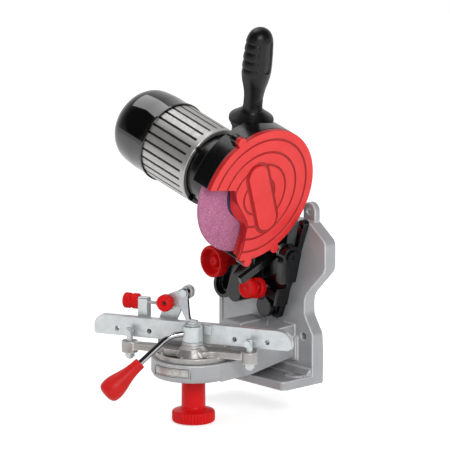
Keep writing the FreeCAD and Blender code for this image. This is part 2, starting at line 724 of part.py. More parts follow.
def bracket_pieces():
    """The tilt bracket with its hinge pin, clip and spring, in the base frame."""
    right = CHEEK_RIGHT + CHEEK_THICK
    left = CHEEK_LEFT - CHEEK_THICK
    at = V(0, HINGE_Y, HINGE_RISE)
    pin = rod(HINGE_PIN_R, at + V(left - 3, 0, 0), at + V(right, 0, 0))
    head = rod(HINGE_HEAD_R, at + V(right, 0, 0), at + V(right + 2.5, 0, 0))
    key = aim(hexagon(5, 3), at + V(right + 1, 0, 0), V(1, 0, 0))
    clip = rod(HINGE_PIN_R + 3, at + V(left - 1.4, 0, 0), at + V(left, 0, 0))
    clip = clip.cut(rod(HINGE_PIN_R + FIT, at + V(left - 2, 0, 0), at + V(left + 1, 0, 0)))
    pieces = {
        "tilt_bracket": tilt_bracket(),
        "hinge_pin": fuse(pin, head).cut(key),
        "hinge_clip": clip,
        "return_spring": return_spring(),
    }
    return {name: to_bracket(shape) for name, shape in pieces.items()}


def depth_stop_pieces():
    """The depth screw with its red knob, the travelling tongue and the red lock nut."""
    way = depth_way()
    bore = rod(DEPTH_SCREW_R + FIT, depth_point(2 - FIT), depth_point(DEPTH_KNOB_LENGTH + 1))
    dish = turned([(0, 0), (1.2, 0), (0, DEPTH_KNOB_R - 3)], depth_point(0), way)
    knob = aim(fluted(DEPTH_KNOB_R, 0.8, 24, DEPTH_KNOB_LENGTH), depth_point(0), way)
    slide = rod(DEPTH_SCREW_R + RUN, depth_point(0), depth_point(DEPTH_SCREW_END))
    guide = CHEEK_RIGHT - GAP - DEPTH_X
    half = TONGUE_WIDTH / 2
    corners = [(-guide, -half, 1), (half, -half, 2), (half, half, 2), (-guide, half, 1)]
    tongue = prism(corners, "z", 0, TONGUE_THICK)
    turn = FreeCAD.Rotation(V(-1, 0, 0), V(0, 0, 1), way, "ZXY")
    tongue.Placement = FreeCAD.Placement(depth_point(TONGUE_START), turn)
    nut = aim(fluted(LOCK_NUT_R, 0.8, 22, LOCK_NUT_LENGTH), depth_point(LOCK_NUT_START), way)
    pieces = {
        "depth_knob": knob.cut(bore).cut(dish),
        "depth_screw": rod(DEPTH_SCREW_R, depth_point(2), depth_point(DEPTH_SCREW_END)),
        "depth_tongue": tongue.cut(slide),
        "depth_lock_nut": nut.cut(slide),
    }
    return {name: to_bracket(shape) for name, shape in pieces.items()}


def opening(grow, low, high):
    """The cut in the guard and cover that bares the wheel, grown by a margin."""
    corners = [
        (-130, 25 + grow),
        (-37 + grow, 12 + grow, 5),
        (-31 + grow, -3 + grow / 2, 12),
        (-9 + grow, -31, 12),
        (-8 + grow, -60, 20),
        (-14 + grow, -90),
        (-14 + grow, -130),
        (-130, -130),
    ]
    return prism(corners, "x", low, high)


def lug(angle, low, high, radius):
    """A cylinder at one of the cover's lugs, along X."""
    a = math.radians(angle)
    y, z = LUG_RADIUS * math.cos(a), LUG_RADIUS * math.sin(a)
    return rod(radius, V(low, y, z), V(high, y, z))


def handle_way():
    """The handle's direction, leaning towards the operator."""
    a = math.radians(HANDLE_LEAN)
    return V(0, -math.sin(a), math.cos(a))


def hinge_in_head():
    """The hinge axis seen from the wheel's centre."""
    return HINGE_Y - WHEEL_Y, HINGE_RISE - WHEEL_RISE


def stop_finger():
    """The finger that lands on the depth tongue when the head is down, drawn down and swung up to rest."""
    seat = depth_point(TONGUE_START - GAP)
    up = V(0, math.sin(math.radians(DEPTH_LEAN)), math.cos(math.radians(DEPTH_LEAN)))
    low, high = seat - up * 5, seat + up * 50
    front = depth_way() * -FINGER_THICK
    side = [(p.y, p.z, 1.5) for p in (low, high, high + front, low + front)]
    finger = prism(side, "x", FINGER_LEFT, FINGER_RIGHT)
    finger.rotate(V(0, HINGE_Y, HINGE_RISE), V(1, 0, 0), -SWING_TRAVEL)
    finger.translate(V(0, -WHEEL_Y, -WHEEL_RISE))
    return finger


def head_casting():
    """The black casting: bell, wheel guard, hinge arm, handle seat, switch pad and stop finger."""
    guard_front = COVER_BACK
    plate_front = GUARD_BACK + GUARD_PLATE
    bell = rod(BELL_R, V(MOTOR_FRONT, 0, 0), V(GUARD_BACK, 0, 0))
    hollow = rod(BELL_R - BELL_WALL, V(MOTOR_FRONT - 1, 0, 0), V(GUARD_BACK - 8, 0, 0))
    bearing_boss = rod(FRONT_BEARING_R + 4, V(FRONT_BEARING_X, 0, 0), V(GUARD_BACK, 0, 0))
    guard = rod(GUARD_R, V(GUARD_BACK, 0, 0), V(guard_front, 0, 0))
    guard = fuse(guard, *[lug(a, guard_front - LUG_LENGTH, guard_front, LUG_R) for a in LUG_ANGLES])
    wheel_room = rod(GUARD_R - GUARD_WALL, V(plate_front, 0, 0), V(guard_front + 1, 0, 0))
    y, z = hinge_in_head()
    knuckle = rod(KNUCKLE_R, V(KNUCKLE_LEFT, y, z), V(KNUCKLE_RIGHT, y, z))
    arm = prism([(63, -38), (18, -74), (y - 8, z - 7), (y + 9, z + 3)], "x", KNUCKLE_LEFT, KNUCKLE_RIGHT)
    rib = prism([(0, -30), (33, 12), (63, -36), (y + 4, z + 6), (18, -70)], "x", GUARD_BACK - 14, GUARD_BACK)
    base = V(HANDLE_X, HANDLE_Y, HANDLE_RISE)
    seat = rod(HANDLE_FLANGE_R - 4, base - handle_way() * 38, base)
    clear = rod(HANDLE_FLANGE_R + 0.5, base, base + handle_way() * 40)
    pad = block(SWITCH_X - 12, SWITCH_X + 12, 0, BELL_R + SWITCH_PAD, -15, 15)
    cheek_room = rod(CHEEK_R + 1.2, V(CHEEK_LEFT - CHEEK_THICK - 6, y, z), V(KNUCKLE_LEFT, y, z))
    casting = fuse(bell, guard, knuckle, arm, rib.cut(cheek_room), seat, pad)
    casting = casting.cut(opening(0, GUARD_BACK - 0.01, guard_front + 1))
    casting = casting.cut(wheel_room).cut(clear)
    casting = fuse(casting.cut(hollow.cut(bearing_boss)), stop_finger())
    bore_back = V(FRONT_BEARING_X - 1, 0, 0)
    bore_front = V(FRONT_BEARING_X + FRONT_BEARING_WIDTH, 0, 0)
    casting = casting.cut(rod(FRONT_BEARING_R + FIT, bore_back, bore_front))
    casting = casting.cut(rod(SHAFT_R + 5, bore_front, V(0, 0, 0)))
    casting = casting.cut(rod(HINGE_PIN_R + RUN, V(-60, y, z), V(60, y, z)))
    stud_low = base - handle_way() * (HANDLE_STUD_DOWN + 0.5)
    casting = casting.cut(rod(HANDLE_STUD_R + FIT, stud_low, base + handle_way()))
    casting = casting.cut(block(*switch_pocket()))
    lug_back = guard_front - LUG_LENGTH
    for angle in LUG_ANGLES:
        casting = casting.cut(lug(angle, lug_back - 1, guard_front + 1, COVER_SCREW_R + FIT))
        casting = casting.cut(lug(angle, 2 * GUARD_BACK, lug_back, COVER_HEAD_R + GAP))
    return casting


def switch_pocket():
    """The pocket in the switch pad, as a box."""
    return SWITCH_X - 8, SWITCH_X + 8, BELL_R - 5, BELL_R + SWITCH_PAD + 1, -10, 10


def switch_pieces():
    """The switch's frame and its rocker, on the side away from the operator."""
    x0, x1, y0, y1, z0, z1 = switch_pocket()
    face = BELL_R + SWITCH_PAD
    frame = block(x0 - 2, x1 + 2, face, face + 1.6, z0 - 2, z1 + 2).cut(block(x0, x1, y0, y1 + 9, z0, z1))
    side = [
        (y0 + 1.6, -5),
        (y0 + 1.6, 5),
        (face + 1, 9.2),
        (face + 4.2, 9),
        (face + 2.2, 0),
        (face + 4.2, -9),
        (face + 1, -9.2),
    ]
    rocker = prism(side, "x", x0 + GAP, x1 - GAP)
    return frame, rocker


def badge(grow, low, high):
    """The bare badge's leaning oblong on the cover, grown by a margin."""
    half, tall = BADGE_WIDTH / 2 + grow, BADGE_LENGTH / 2 + grow
    turn = half * 0.999
    sides = ((-half, -tall), (half, -tall), (half, tall), (-half, tall))
    shape = prism([(u, v, turn) for u, v in sides], "x", low, high)
    shape.rotate(V(0, 0, 0), V(1, 0, 0), BADGE_LEAN)
    shape.translate(V(0, 5, -3))
    return shape


def wheel_cover():
    """The red cover: a ringed face with a turned-back edge, a bare badge and three lugs."""
    disc = rod(GUARD_R, V(COVER_BACK, 0, 0), V(COVER_FRONT, 0, 0))
    disc = fuse(disc, *[lug(a, COVER_BACK, COVER_FRONT, LUG_R) for a in LUG_ANGLES])
    disc = disc.cut(opening(0, COVER_BACK - 1, COVER_FRONT + 1))
    inside = rod(GUARD_R - COVER_WALL - 0.5, V(COVER_BACK - 1, 0, 0), V(COVER_FRONT - COVER_WALL, 0, 0))
    inside = inside.cut(opening(COVER_WALL, COVER_BACK - 2, COVER_FRONT))
    cover = disc.cut(inside)
    for radius in RING_RADII:
        cover = cover.cut(pipe_x(radius, radius - RING_WIDTH, COVER_FRONT - RING_DEPTH, COVER_FRONT + 1))
    cover = cover.cut(badge(BADGE_MOAT, COVER_FRONT - RING_DEPTH, COVER_FRONT + 3))
    lip = rod(GUARD_R - GUARD_WALL - GAP, V(LIP_BACK, 0, 0), V(COVER_FRONT - 1, 0, 0))
    lip = lip.common(opening(COVER_WALL, LIP_BACK - 1, COVER_FRONT))
    cover = fuse(cover, badge(0, COVER_FRONT - 1.6, COVER_FRONT + 1.6), lip)
    cover = cover.cut(opening(0, LIP_BACK - 2, COVER_FRONT + 3))
    for angle in LUG_ANGLES:
        cover = cover.cut(lug(angle, COVER_BACK - 1, COVER_FRONT - 1.5, COVER_SCREW_R + FIT))
    return cover


def cover_screws():
    """The three screws that hold the cover from behind."""
    back = COVER_BACK - LUG_LENGTH
    screws = []
    for a in LUG_ANGLES:
        head = lug(a, back - COVER_HEAD_LENGTH, back, COVER_HEAD_R)
        screws.append(fuse(lug(a, back, COVER_FRONT - 2, COVER_SCREW_R), head))
    return Part.makeCompound(screws)


def motor_tube():
    """The silver finned tube with its plain front rim and a rear shield for the bearing."""
    tube = pipe_x(MOTOR_R, MOTOR_R - MOTOR_WALL, MOTOR_BACK, MOTOR_FRONT)
    shield = rod(MOTOR_R - MOTOR_WALL + 1, V(MOTOR_BACK, 0, 0), V(MOTOR_BACK + REAR_BEARING_WIDTH, 0, 0))
    tube = fuse(tube, shield)
    for i in range(FIN_COUNT):
        half, floor = FIN_GAP / 2, MOTOR_R - FIN_DEPTH
        gap = block(MOTOR_BACK + 3, MOTOR_FRONT - MOTOR_RIM, -half, half, floor, MOTOR_R + 2)
        gap.rotate(V(0, 0, 0), V(1, 0, 0), 360 * (i + 0.5) / FIN_COUNT)
        tube = tube.cut(gap)
    for angle in motor_screw_angles():
        tube = tube.cut(motor_screw(angle, 1.6 + FIT))
    bore_front = V(MOTOR_BACK + REAR_BEARING_WIDTH + 1, 0, 0)
    return tube.cut(rod(REAR_BEARING_R + FIT, V(MOTOR_BACK - 1, 0, 0), bore_front))


def motor_screw_angles():
    """Where the four motor screws sit round the front rim."""
    return [-132 + 90 * i for i in range(4)]


def motor_screw(angle, radius):
    """A motor screw's shank in the rim."""
    a = math.radians(angle)
    r = (MOTOR_R + BELL_R) / 2
    at = V(MOTOR_FRONT, r * math.cos(a), r * math.sin(a))
    return rod(radius, at - V(MOTOR_RIM - 1, 0, 0), at)


def motor_screws():
    """The four screws in the motor tube's front rim, with round heads."""
    screws = []
    for angle in motor_screw_angles():
        shank = motor_screw(angle, 1.6)
        at = shank.BoundBox.Center
        head = rod(2.7, V(MOTOR_FRONT, at.y, at.z), V(MOTOR_FRONT + 2.4, at.y, at.z))
        screws.append(fuse(shank, head))
    return Part.makeCompound(screws)


def motor_end_cap():
    """The glossy domed cap over the motor's back, an open shell."""
    tip = CAP_LENGTH
    outer = [
        (0, 0),
        (tip, 0),
        (tip, CAP_R * 0.35, 8),
        (tip - 12, CAP_R * 0.93, 26),
        (tip * 0.45, CAP_R, 60),
        (0, CAP_R),
    ]
    inner = [
        (-1, 0),
        (tip - CAP_WALL, 0),
        (tip - CAP_WALL, CAP_R * 0.33, 7),
        (tip - 14, CAP_R * 0.9 - CAP_WALL, 24),
        (tip * 0.42, CAP_R - CAP_WALL, 50),
        (CAP_WALL, CAP_R - CAP_WALL),
        (CAP_WALL, MOTOR_R - CAP_LIP),
        (-1, MOTOR_R - CAP_LIP),
    ]
    back = V(MOTOR_BACK, 0, 0)
    cap = turned(outer, back, V(-1, 0, 0)).cut(turned(inner, back, V(-1, 0, 0)))
    return cap.cut(rod(GLAND_R + FIT, V(gland_x(), 0, 0), V(gland_x(), CAP_R + 5, 0)))


def gland_x():
    """Where the cable gland sits along the cap."""
    return MOTOR_BACK - 16


def cable_gland():
    """The cable gland on the cap's hidden side."""
    along = [
        (CAP_R - 6, GLAND_BORE_R),
        (CAP_R + 16, GLAND_BORE_R),
        (CAP_R + 16, GLAND_R + 0.5, 2),
        (CAP_R + 5, GLAND_R + 1.5),
        (CAP_R + 5, GLAND_R + 3),
        (CAP_R + 0.1, GLAND_R + 3),
        (CAP_R + 0.1, GLAND_R),
        (CAP_R - 6, GLAND_R),
    ]
    return turned(along, V(gland_x(), 0, 0), V(0, 1, 0))


def bearing(outer, inner, low, width):
    """A ball bearing as its two rings and the seal between them."""
    middle = (outer + inner) / 2
    profile = [
        (0, inner),
        (width, inner),
        (width, middle - 1.5),
        (width - 0.6, middle - 1.5),
        (width - 0.6, middle + 1.5),
        (width, middle + 1.5),
        (width, outer),
        (0, outer),
    ]
    return turned(profile, V(low, 0, 0), V(1, 0, 0))


def handle_grip():
    """The black handle: a round flange, a neck and a swelling grip with finger grooves."""
    base = [
        (0, 0),
        (0, HANDLE_FLANGE_R),
        (6, HANDLE_FLANGE_R, 3),
        (15, HANDLE_NECK_R, 8),
        (34, HANDLE_NECK_R),
        (34, 0),
    ]
    foot = turned(base, V(0, 0, 0), V(0, 0, 1))
    stations = (
        (33, HANDLE_NECK_R, HANDLE_NECK_R - 0.4),
        (52, 13.5, 12.5),
        (74, 17.0, 14.5),
        (94, 17.2, 14.2),
        (HANDLE_LENGTH - 5, 14.0, 11.5),
        (HANDLE_LENGTH, 7.0, 6.0),
    )
    rings = []
    for z, across, through in stations:
        ring = Part.Ellipse(V(0, 0, z), across, through).toShape()
        ring.rotate(V(0, 0, z), V(0, 0, 1), 90)
        rings.append(Part.Wire(ring))
    body = Part.makeLoft(rings, True, False)
    for i in range(4):
        middle = V(0, -FINGER_AWAY, FINGER_FIRST + FINGER_PITCH * i)
        across = V(2 * HANDLE_FLANGE_R, 0, 0)
        body = body.cut(rod(FINGER_GROOVE_R, middle - across, middle + across))
    grip = fuse(foot, body).cut(rod(HANDLE_STUD_R + FIT, V(0, 0, -1), V(0, 0, HANDLE_STUD_UP + 1)))
    return aim(grip, V(HANDLE_X, HANDLE_Y, HANDLE_RISE), handle_way())


def head_pieces():
    """Everything that swings with the head, in the base frame."""
    frame, rocker = switch_pieces()
    stack_back = STACK_FRONT - STACK_LENGTH
    base = V(HANDLE_X, HANDLE_Y, HANDLE_RISE)
    stud_low = base - handle_way() * HANDLE_STUD_DOWN
    capacitor = rod(13.5, V(MOTOR_BACK - 44, 0, 24), V(MOTOR_BACK, 0, 24))
    sleeve_back = FRONT_BEARING_X + FRONT_BEARING_WIDTH
    inner_flange = fuse(
        rod(SHAFT_R + 3.5, V(sleeve_back, 0, 0), V(-FLANGE_BACK_X, 0, 0)),
        rod(FLANGE_R, V(-FLANGE_BACK_X - FLANGE_THICK, 0, 0), V(-FLANGE_BACK_X, 0, 0)),
        rod(WHEEL_BORE_R - RUN, V(-FLANGE_BACK_X, 0, 0), V(WHEEL_FRONT, 0, 0)),
    )
    shaft_hole = rod(SHAFT_R + FIT, V(-60, 0, 0), V(60, 0, 0))
    nut = aim(hexagon(NUT_FLATS, NUT_THICK), V(NUT_BACK_X, 0, 0), V(1, 0, 0))
    shaft = fuse(
        rod(SHAFT_R, V(stack_back - 6, 0, 0), V(NUT_BACK_X + NUT_THICK + 1.5, 0, 0)),
        rod(REAR_SHAFT_R, V(MOTOR_BACK - 1, 0, 0), V(stack_back - 6, 0, 0)),
    )
    faces = (-FLANGE_BACK_X, WHEEL_FRONT)
    blotters = [pipe_x(BLOTTER_R, WHEEL_BORE_R, x, x + BLOTTER_THICK) for x in faces]
    pieces = {
        "head_casting": head_casting(),
        "wheel_cover": wheel_cover(),
        "cover_screws": cover_screws(),
        "motor_tube": motor_tube(),
        "motor_screws": motor_screws(),
        "motor_end_cap": motor_end_cap(),
        "cable_gland": cable_gland(),
        "stator": pipe_x(MOTOR_R - MOTOR_WALL - FIT, STATOR_BORE_R, stack_back, STACK_FRONT),
        "front_bearing": bearing(FRONT_BEARING_R, SHAFT_R + FIT, FRONT_BEARING_X, FRONT_BEARING_WIDTH),
        "rear_bearing": bearing(REAR_BEARING_R, REAR_SHAFT_R + FIT, MOTOR_BACK, REAR_BEARING_WIDTH),
        "run_capacitor": capacitor,
        "switch_frame": frame,
        "handle_grip": handle_grip(),
        "handle_stud": rod(HANDLE_STUD_R, stud_low, base + handle_way() * HANDLE_STUD_UP),
        "switch_rocker": rocker,
        "motor_shaft": shaft,
        "rotor": pipe_x(STATOR_BORE_R - 0.5, SHAFT_R + FIT, stack_back, STACK_FRONT),
        "inner_flange": inner_flange.cut(shaft_hole),
        "grinding_wheel": pipe_x(WHEEL_R, WHEEL_BORE_R, -WHEEL_FRONT, WHEEL_FRONT),
        "wheel_blotters": Part.makeCompound(blotters),
        "outer_flange": rod(FLANGE_R, V(FLANGE_BACK_X, 0, 0), V(NUT_BACK_X, 0, 0)).cut(shaft_hole),
        "wheel_nut": nut.cut(shaft_hole),
    }
    return {name: to_head(shape) for name, shape in pieces.items()}


def vise_carrier():
    """The cast turntable with its cross bar, stud bosses and cam seat, in the vise frame."""
    disc_low = SEAT_TOP + GAP
    disc_top = disc_low + DISC_THICK
    disc = rod(DISC_R, V(0, 0, disc_low), V(0, 0, disc_top))
    recess = Part.makeCylinder(DISC_R - 3, 4, V(0, 0, disc_top - 3), V(0, 0, 1), 97)
    recess.rotate(V(0, 0, 0), V(0, 0, 1), -139)
    recess = recess.cut(block(-0.9, 0.9, -DISC_R, 0, 0, disc_top + 2))
    disc = disc.cut(recess)
    bar_low = disc_top - 1
    s, w = RAIL_PIN_S, STUD_W
    right_half = [
        (22, w - 16, 10),
        (30, w - 7, 10),
        (s + 4, w - 6, 3),
        (s + 4, w + 6, 3),
        (34, w + 8, 10),
        (24, 12, 10),
    ]
    bar = right_half + [(-u, v, turn) for u, v, turn in reversed(right_half)]
    body = fuse(disc, prism(bar, "z", bar_low, bar_low + 7))
    neck = HUB_TOP - 4
    hub_corners = [(bar_low, 0), (HUB_TOP, 0), (HUB_TOP, 11.5), (neck, 11.5), (neck - 1, 14), (bar_low, 18)]
    hub = turned(hub_corners, V(CAM_S, CAM_W, 0), V(0, 0, 1))
    front = -RAIL_THICK - 1.5
    pad = prism([(-40, front, 2), (40, front, 2), (40, 9, 2), (-40, 9, 2)], "z", bar_low, BAR_TOP)
    bosses = [rod(STUD_BOSS_R, V(x, w, disc_low + 1), V(x, w, bar_low + 9)) for x in (-s, s)]
    body = fuse(body, hub, pad, *bosses)
    for x in (-s, s):
        body = body.cut(rod(STUD_R + FIT, V(x, w, 0), V(x, w, 100)))
    body = body.cut(rod(CAM_BOLT_R + FIT, V(CAM_S, CAM_W, HUB_TOP - 9), V(CAM_S, CAM_W, 100)))
    return body.cut(rod(SWIVEL_STUD_R + RUN, V(0, 0, 0), V(0, 0, SEAT_TOP + DISC_THICK + 4 + GAP)))


def rail(front):
    """One vise rail, its top corners rounded, from its front face backwards."""
    half = RAIL_LENGTH / 2
    corners = [(-half, BAR_TOP, 3), (half, BAR_TOP, 4), (half, RAIL_TOP, 15), (-half, RAIL_TOP, 12)]
    plate = prism(corners, "y", front, front + RAIL_THICK)
    holes = [(s, rail_pin_z() + 1, RAIL_HOLE_R) for s in RAIL_HOLES_S]
    for s, z, r in holes + [(RAIL_PIN_S, rail_pin_z(), RAIL_PIN_R + RUN)]:
        for x in (-s, s):
            plate = plate.cut(rod(r, V(x, front - 1, z), V(x, front + RAIL_THICK + 1, z)))
    return plate


def front_rail():
    """The rail that the cam closes, with a small pad beside the cam collar."""
    front = -RAIL_GAP / 2 - RAIL_THICK
    high = RAIL_TOP - 1
    right, low = CAM_PAD_S + CAM_PAD_LENGTH, high - CAM_PAD_HEIGHT
    pad = block(CAM_PAD_S, right, front - CAM_PAD_W, front + 1, low, high)
    return fuse(rail(front), pad)


def rail_pin_z():
    """The height of the pins that carry the rails."""
    return BAR_TOP + 6.5


def stop_bracket():
    """The bent zinc bracket behind the rear rail, with an upright tab for the adjusting rod."""
    low, high = BAR_TOP + 4, RAIL_TOP - 3
    strip = block(STOP_TAB_S - 12, CARRIAGE_S + 16, REAR_RAIL_BACK, REAR_RAIL_BACK + STOP_STRIP, low, high)
    corners = [
        (REAR_RAIL_BACK, low),
        (STOP_ROD_W + 5, low + 6, 3),
        (STOP_ROD_W + 5, STOP_ROD_Z + 6, 4),
        (REAR_RAIL_BACK, STOP_ROD_Z + 6, 2),
    ]
    tab = prism(corners, "x", STOP_TAB_S, STOP_TAB_S + STOP_TAB_THICK)
    hole = rod(STOP_ROD_R + RUN, V(-200, STOP_ROD_W, STOP_ROD_Z), V(0, STOP_ROD_W, STOP_ROD_Z))
    clear = rod(RAIL_PIN_R + 3.2, V(-RAIL_PIN_S, 0, rail_pin_z()), V(-RAIL_PIN_S, 30, rail_pin_z()))
    return fuse(strip, tab).cut(hole).cut(clear)


def vise_pieces():
    """The vise's fixed pieces, in the base frame."""
    rear = rail(RAIL_GAP / 2)
    stud_top = rail_pin_z() + 5
    nut_top = SEAT_TOP + GAP + 1
    studs, pins, nuts = [], [], []
    for x in (-RAIL_PIN_S, RAIL_PIN_S):
        stud = rod(STUD_R, V(x, STUD_W, nut_top - 7), V(x, STUD_W, stud_top))
        seat = V(x, STUD_W - STUD_R - 1.5, rail_pin_z())
        tail = V(x, REAR_RAIL_BACK, rail_pin_z())
        studs.append(stud.cut(rod(RAIL_PIN_R + FIT, seat - V(0, 5, 0), tail)))
        head = rod(RAIL_PIN_R + 1.2, seat - V(0, 2, 0), seat)
        end = rod(RAIL_PIN_R + 1.5, tail, tail + V(0, 2, 0))
        pins.append(fuse(rod(RAIL_PIN_R, seat, tail), head, end))
        nut = aim(hexagon(10, 5), V(x, STUD_W, nut_top - 5), V(0, 0, 1))
        nuts.append(nut.cut(rod(STUD_R + FIT, V(x, STUD_W, 0), V(x, STUD_W, 100))))
    cam_top = CAM_BOTTOM + CAM_HEIGHT
    at = V(CAM_S, CAM_W, 0)
    bolt = fuse(
        rod(CAM_BOLT_R, at + V(0, 0, HUB_TOP - 8), at + V(0, 0, cam_top + 3)),
        rod(CAM_R + 0.2, at + V(0, 0, HUB_TOP), at + V(0, 0, CAM_BOTTOM - GAP)),
        rod(CAM_R - 3, at + V(0, 0, cam_top + GAP), at + V(0, 0, cam_top + 2)),
        aim(hexagon(10, 3), at + V(0, 0, cam_top + 1.5), V(0, 0, 1)),
    )
    pieces = {
        "vise_carrier": vise_carrier(),
        "rear_rail": rear,
        "rail_studs": Part.makeCompound(studs),
        "rail_pins": Part.makeCompound(pins),
        "stud_nuts": Part.makeCompound(nuts),
        "cam_bolt": bolt,
        "stop_bracket": stop_bracket(),
        "front_rail": front_rail(),
    }
    return {name: to_vise(shape) for name, shape in pieces.items()}


def lever_pieces():
    """The cam collar, the bent chrome rod and the red grip, drawn along -X and turned to rest."""
    middle = CAM_BOTTOM + CAM_HEIGHT / 2
    collar = rod(CAM_R, V(0, 0, CAM_BOTTOM), V(0, 0, CAM_BOTTOM + CAM_HEIGHT))
    collar = collar.cut(rod(CAM_BOLT_R + RUN, V(0, 0, 0), V(0, 0, 100)))
    start = V(-CAM_BOLT_R - 1.5, 0, middle)
    knee = V(-26, 0, middle - 2)
    tip = V(-LEVER_REACH, 0, middle - LEVER_DROP)
    on = (tip - knee).normalize()
    back = (start - knee).normalize()
    bend = 9.0
    inner, outer = knee + back * bend, knee + on * bend
    half = back.getAngle(on) / 2
    radius = bend * math.tan(half)
    apex = knee + (back + on).normalize() * (radius / math.sin(half) - radius)
    grip_start = tip - on * GRIP_LENGTH
    rod_end = grip_start + on * 14
    path = Part.Wire([
        Part.LineSegment(start, inner).toShape(),
        Part.Arc(inner, apex, outer).toShape(),
        Part.LineSegment(outer, rod_end).toShape(),
    ])
    section = Part.Wire(Part.makeCircle(LEVER_ROD_R, start, back))
    lever = path.makePipeShell([section], True, False)
    profile = [
        (0, 0),
        (0, LEVER_ROD_R + 3.2, 1.5),
        (GRIP_LENGTH * 0.3, LEVER_ROD_R + 4.6, 30),
        (GRIP_LENGTH * 0.72, GRIP_R + 0.6, 16),
        (GRIP_LENGTH, GRIP_R * 0.75, 8),
        (GRIP_LENGTH, 0),
    ]
    grip = turned(profile, grip_start, on)
    grip = grip.cut(rod(LEVER_ROD_R + FIT, grip_start - on, rod_end + on * FIT))
    collar = collar.cut(rod(LEVER_ROD_R + FIT, start + back * FIT, knee))
    pieces = {"cam_collar": collar, "lever_rod": lever, "lever_grip": grip}
    pivot = to_vise(Part.Vertex(CAM_S, CAM_W, 0)).Point
    for shape in pieces.values():
        shape.rotate(V(0, 0, 0), V(0, 0, 1), LEVER_AZIMUTH - 180)
        shape.translate(pivot)
    return pieces


def carriage():
    """The pawl carriage: a slanted zinc arm with a block for the adjusting rod."""
    arm_front = REAR_RAIL_BACK + STOP_STRIP + GAP
    arm_back = arm_front + 4
    leg = [
        (CARRIAGE_S - 9, BAR_TOP + 7, 2),
        (CARRIAGE_S + 11, BAR_TOP + 7, 2),
        (PAWL_S - 4, STOP_LOCK_Z, 2),
        (CARRIAGE_S + 4, STOP_LOCK_Z, 2),
    ]
    side = [
        (CARRIAGE_S, STOP_ROD_Z - 4, 2),
        (PAWL_S - 9, STOP_LOCK_Z - 1, 4),
        (PAWL_S + 6, PAWL_Z - 6, 4),
        (PAWL_S + 6.5, PAWL_Z + 1.5, 5),
        (PAWL_S + 1, PAWL_Z + 6, 4),
        (STOP_LOCK_S + 1, STOP_LOCK_Z + 8.5, 3),
        (CARRIAGE_S, STOP_LOCK_Z + 4, 3),
    ]
    arm = fuse(prism(leg, "y", arm_front, arm_back), prism(side, "y", REAR_RAIL_BACK + 0.6, arm_back + 2))
    right = CARRIAGE_S + CARRIAGE_LENGTH
    low, high = STOP_ROD_Z - 4, STOP_LOCK_Z + 4
    box = block(CARRIAGE_S, right, REAR_RAIL_BACK + 0.6, STOP_ROD_W + 4.5, low, high)
    barrel = rod(PAWL_HUB_R + 1, V(PAWL_S, arm_front - 2, PAWL_Z), V(PAWL_S, arm_back + 2, PAWL_Z))
    body = fuse(arm, box, barrel)
    line = V(0, STOP_ROD_W, STOP_ROD_Z)
    body = body.cut(rod(STOP_ROD_R + RUN, line + V(CARRIAGE_S - 30, 0, 0), line + V(right + 1, 0, 0)))
    lock = V(STOP_LOCK_S, 0, STOP_LOCK_Z)
    body = body.cut(rod(STOP_LOCK_SCREW_R + RUN, lock, lock + V(0, STOP_ROD_W - STOP_ROD_R - 0.3, 0)))
    return body.cut(rod(PAWL_PIN_R + FIT, V(PAWL_S, 0, PAWL_Z), V(PAWL_S, 30, PAWL_Z)))


def pawl():
    """The chrome finger that the chain's tooth is drawn against."""
    front = -PAWL_WIDTH / 2
    finger = [
        (PAWL_S - 5, PAWL_Z),
        (PAWL_S - 5.5, PAWL_Z - 12, 8),
        (PAWL_S - 1, PAWL_Z - 23, 14),
        (PAWL_TIP_S - 12, PAWL_TIP_Z, 1.5),
        (PAWL_TIP_S, PAWL_TIP_Z, 0.6),
        (PAWL_TIP_S - 0.4, PAWL_TIP_Z + 1.5, 0.5),
        (PAWL_TIP_S - 8.2, PAWL_TIP_Z + 2.4, 1),
        (PAWL_S + 6, PAWL_Z - 22, 14),
        (PAWL_S + 4.6, PAWL_Z - 9, 8),
        (PAWL_S + 5, PAWL_Z),
    ]
    hub_back = REAR_RAIL_BACK + 0.4
    hub = rod(PAWL_HUB_R, V(PAWL_S, front, PAWL_Z), V(PAWL_S, hub_back, PAWL_Z))
    body = fuse(prism(finger, "y", front, front + PAWL_WIDTH), hub)
    return body.cut(rod(PAWL_PIN_R + RUN, V(PAWL_S, -20, PAWL_Z), V(PAWL_S, 30, PAWL_Z)))


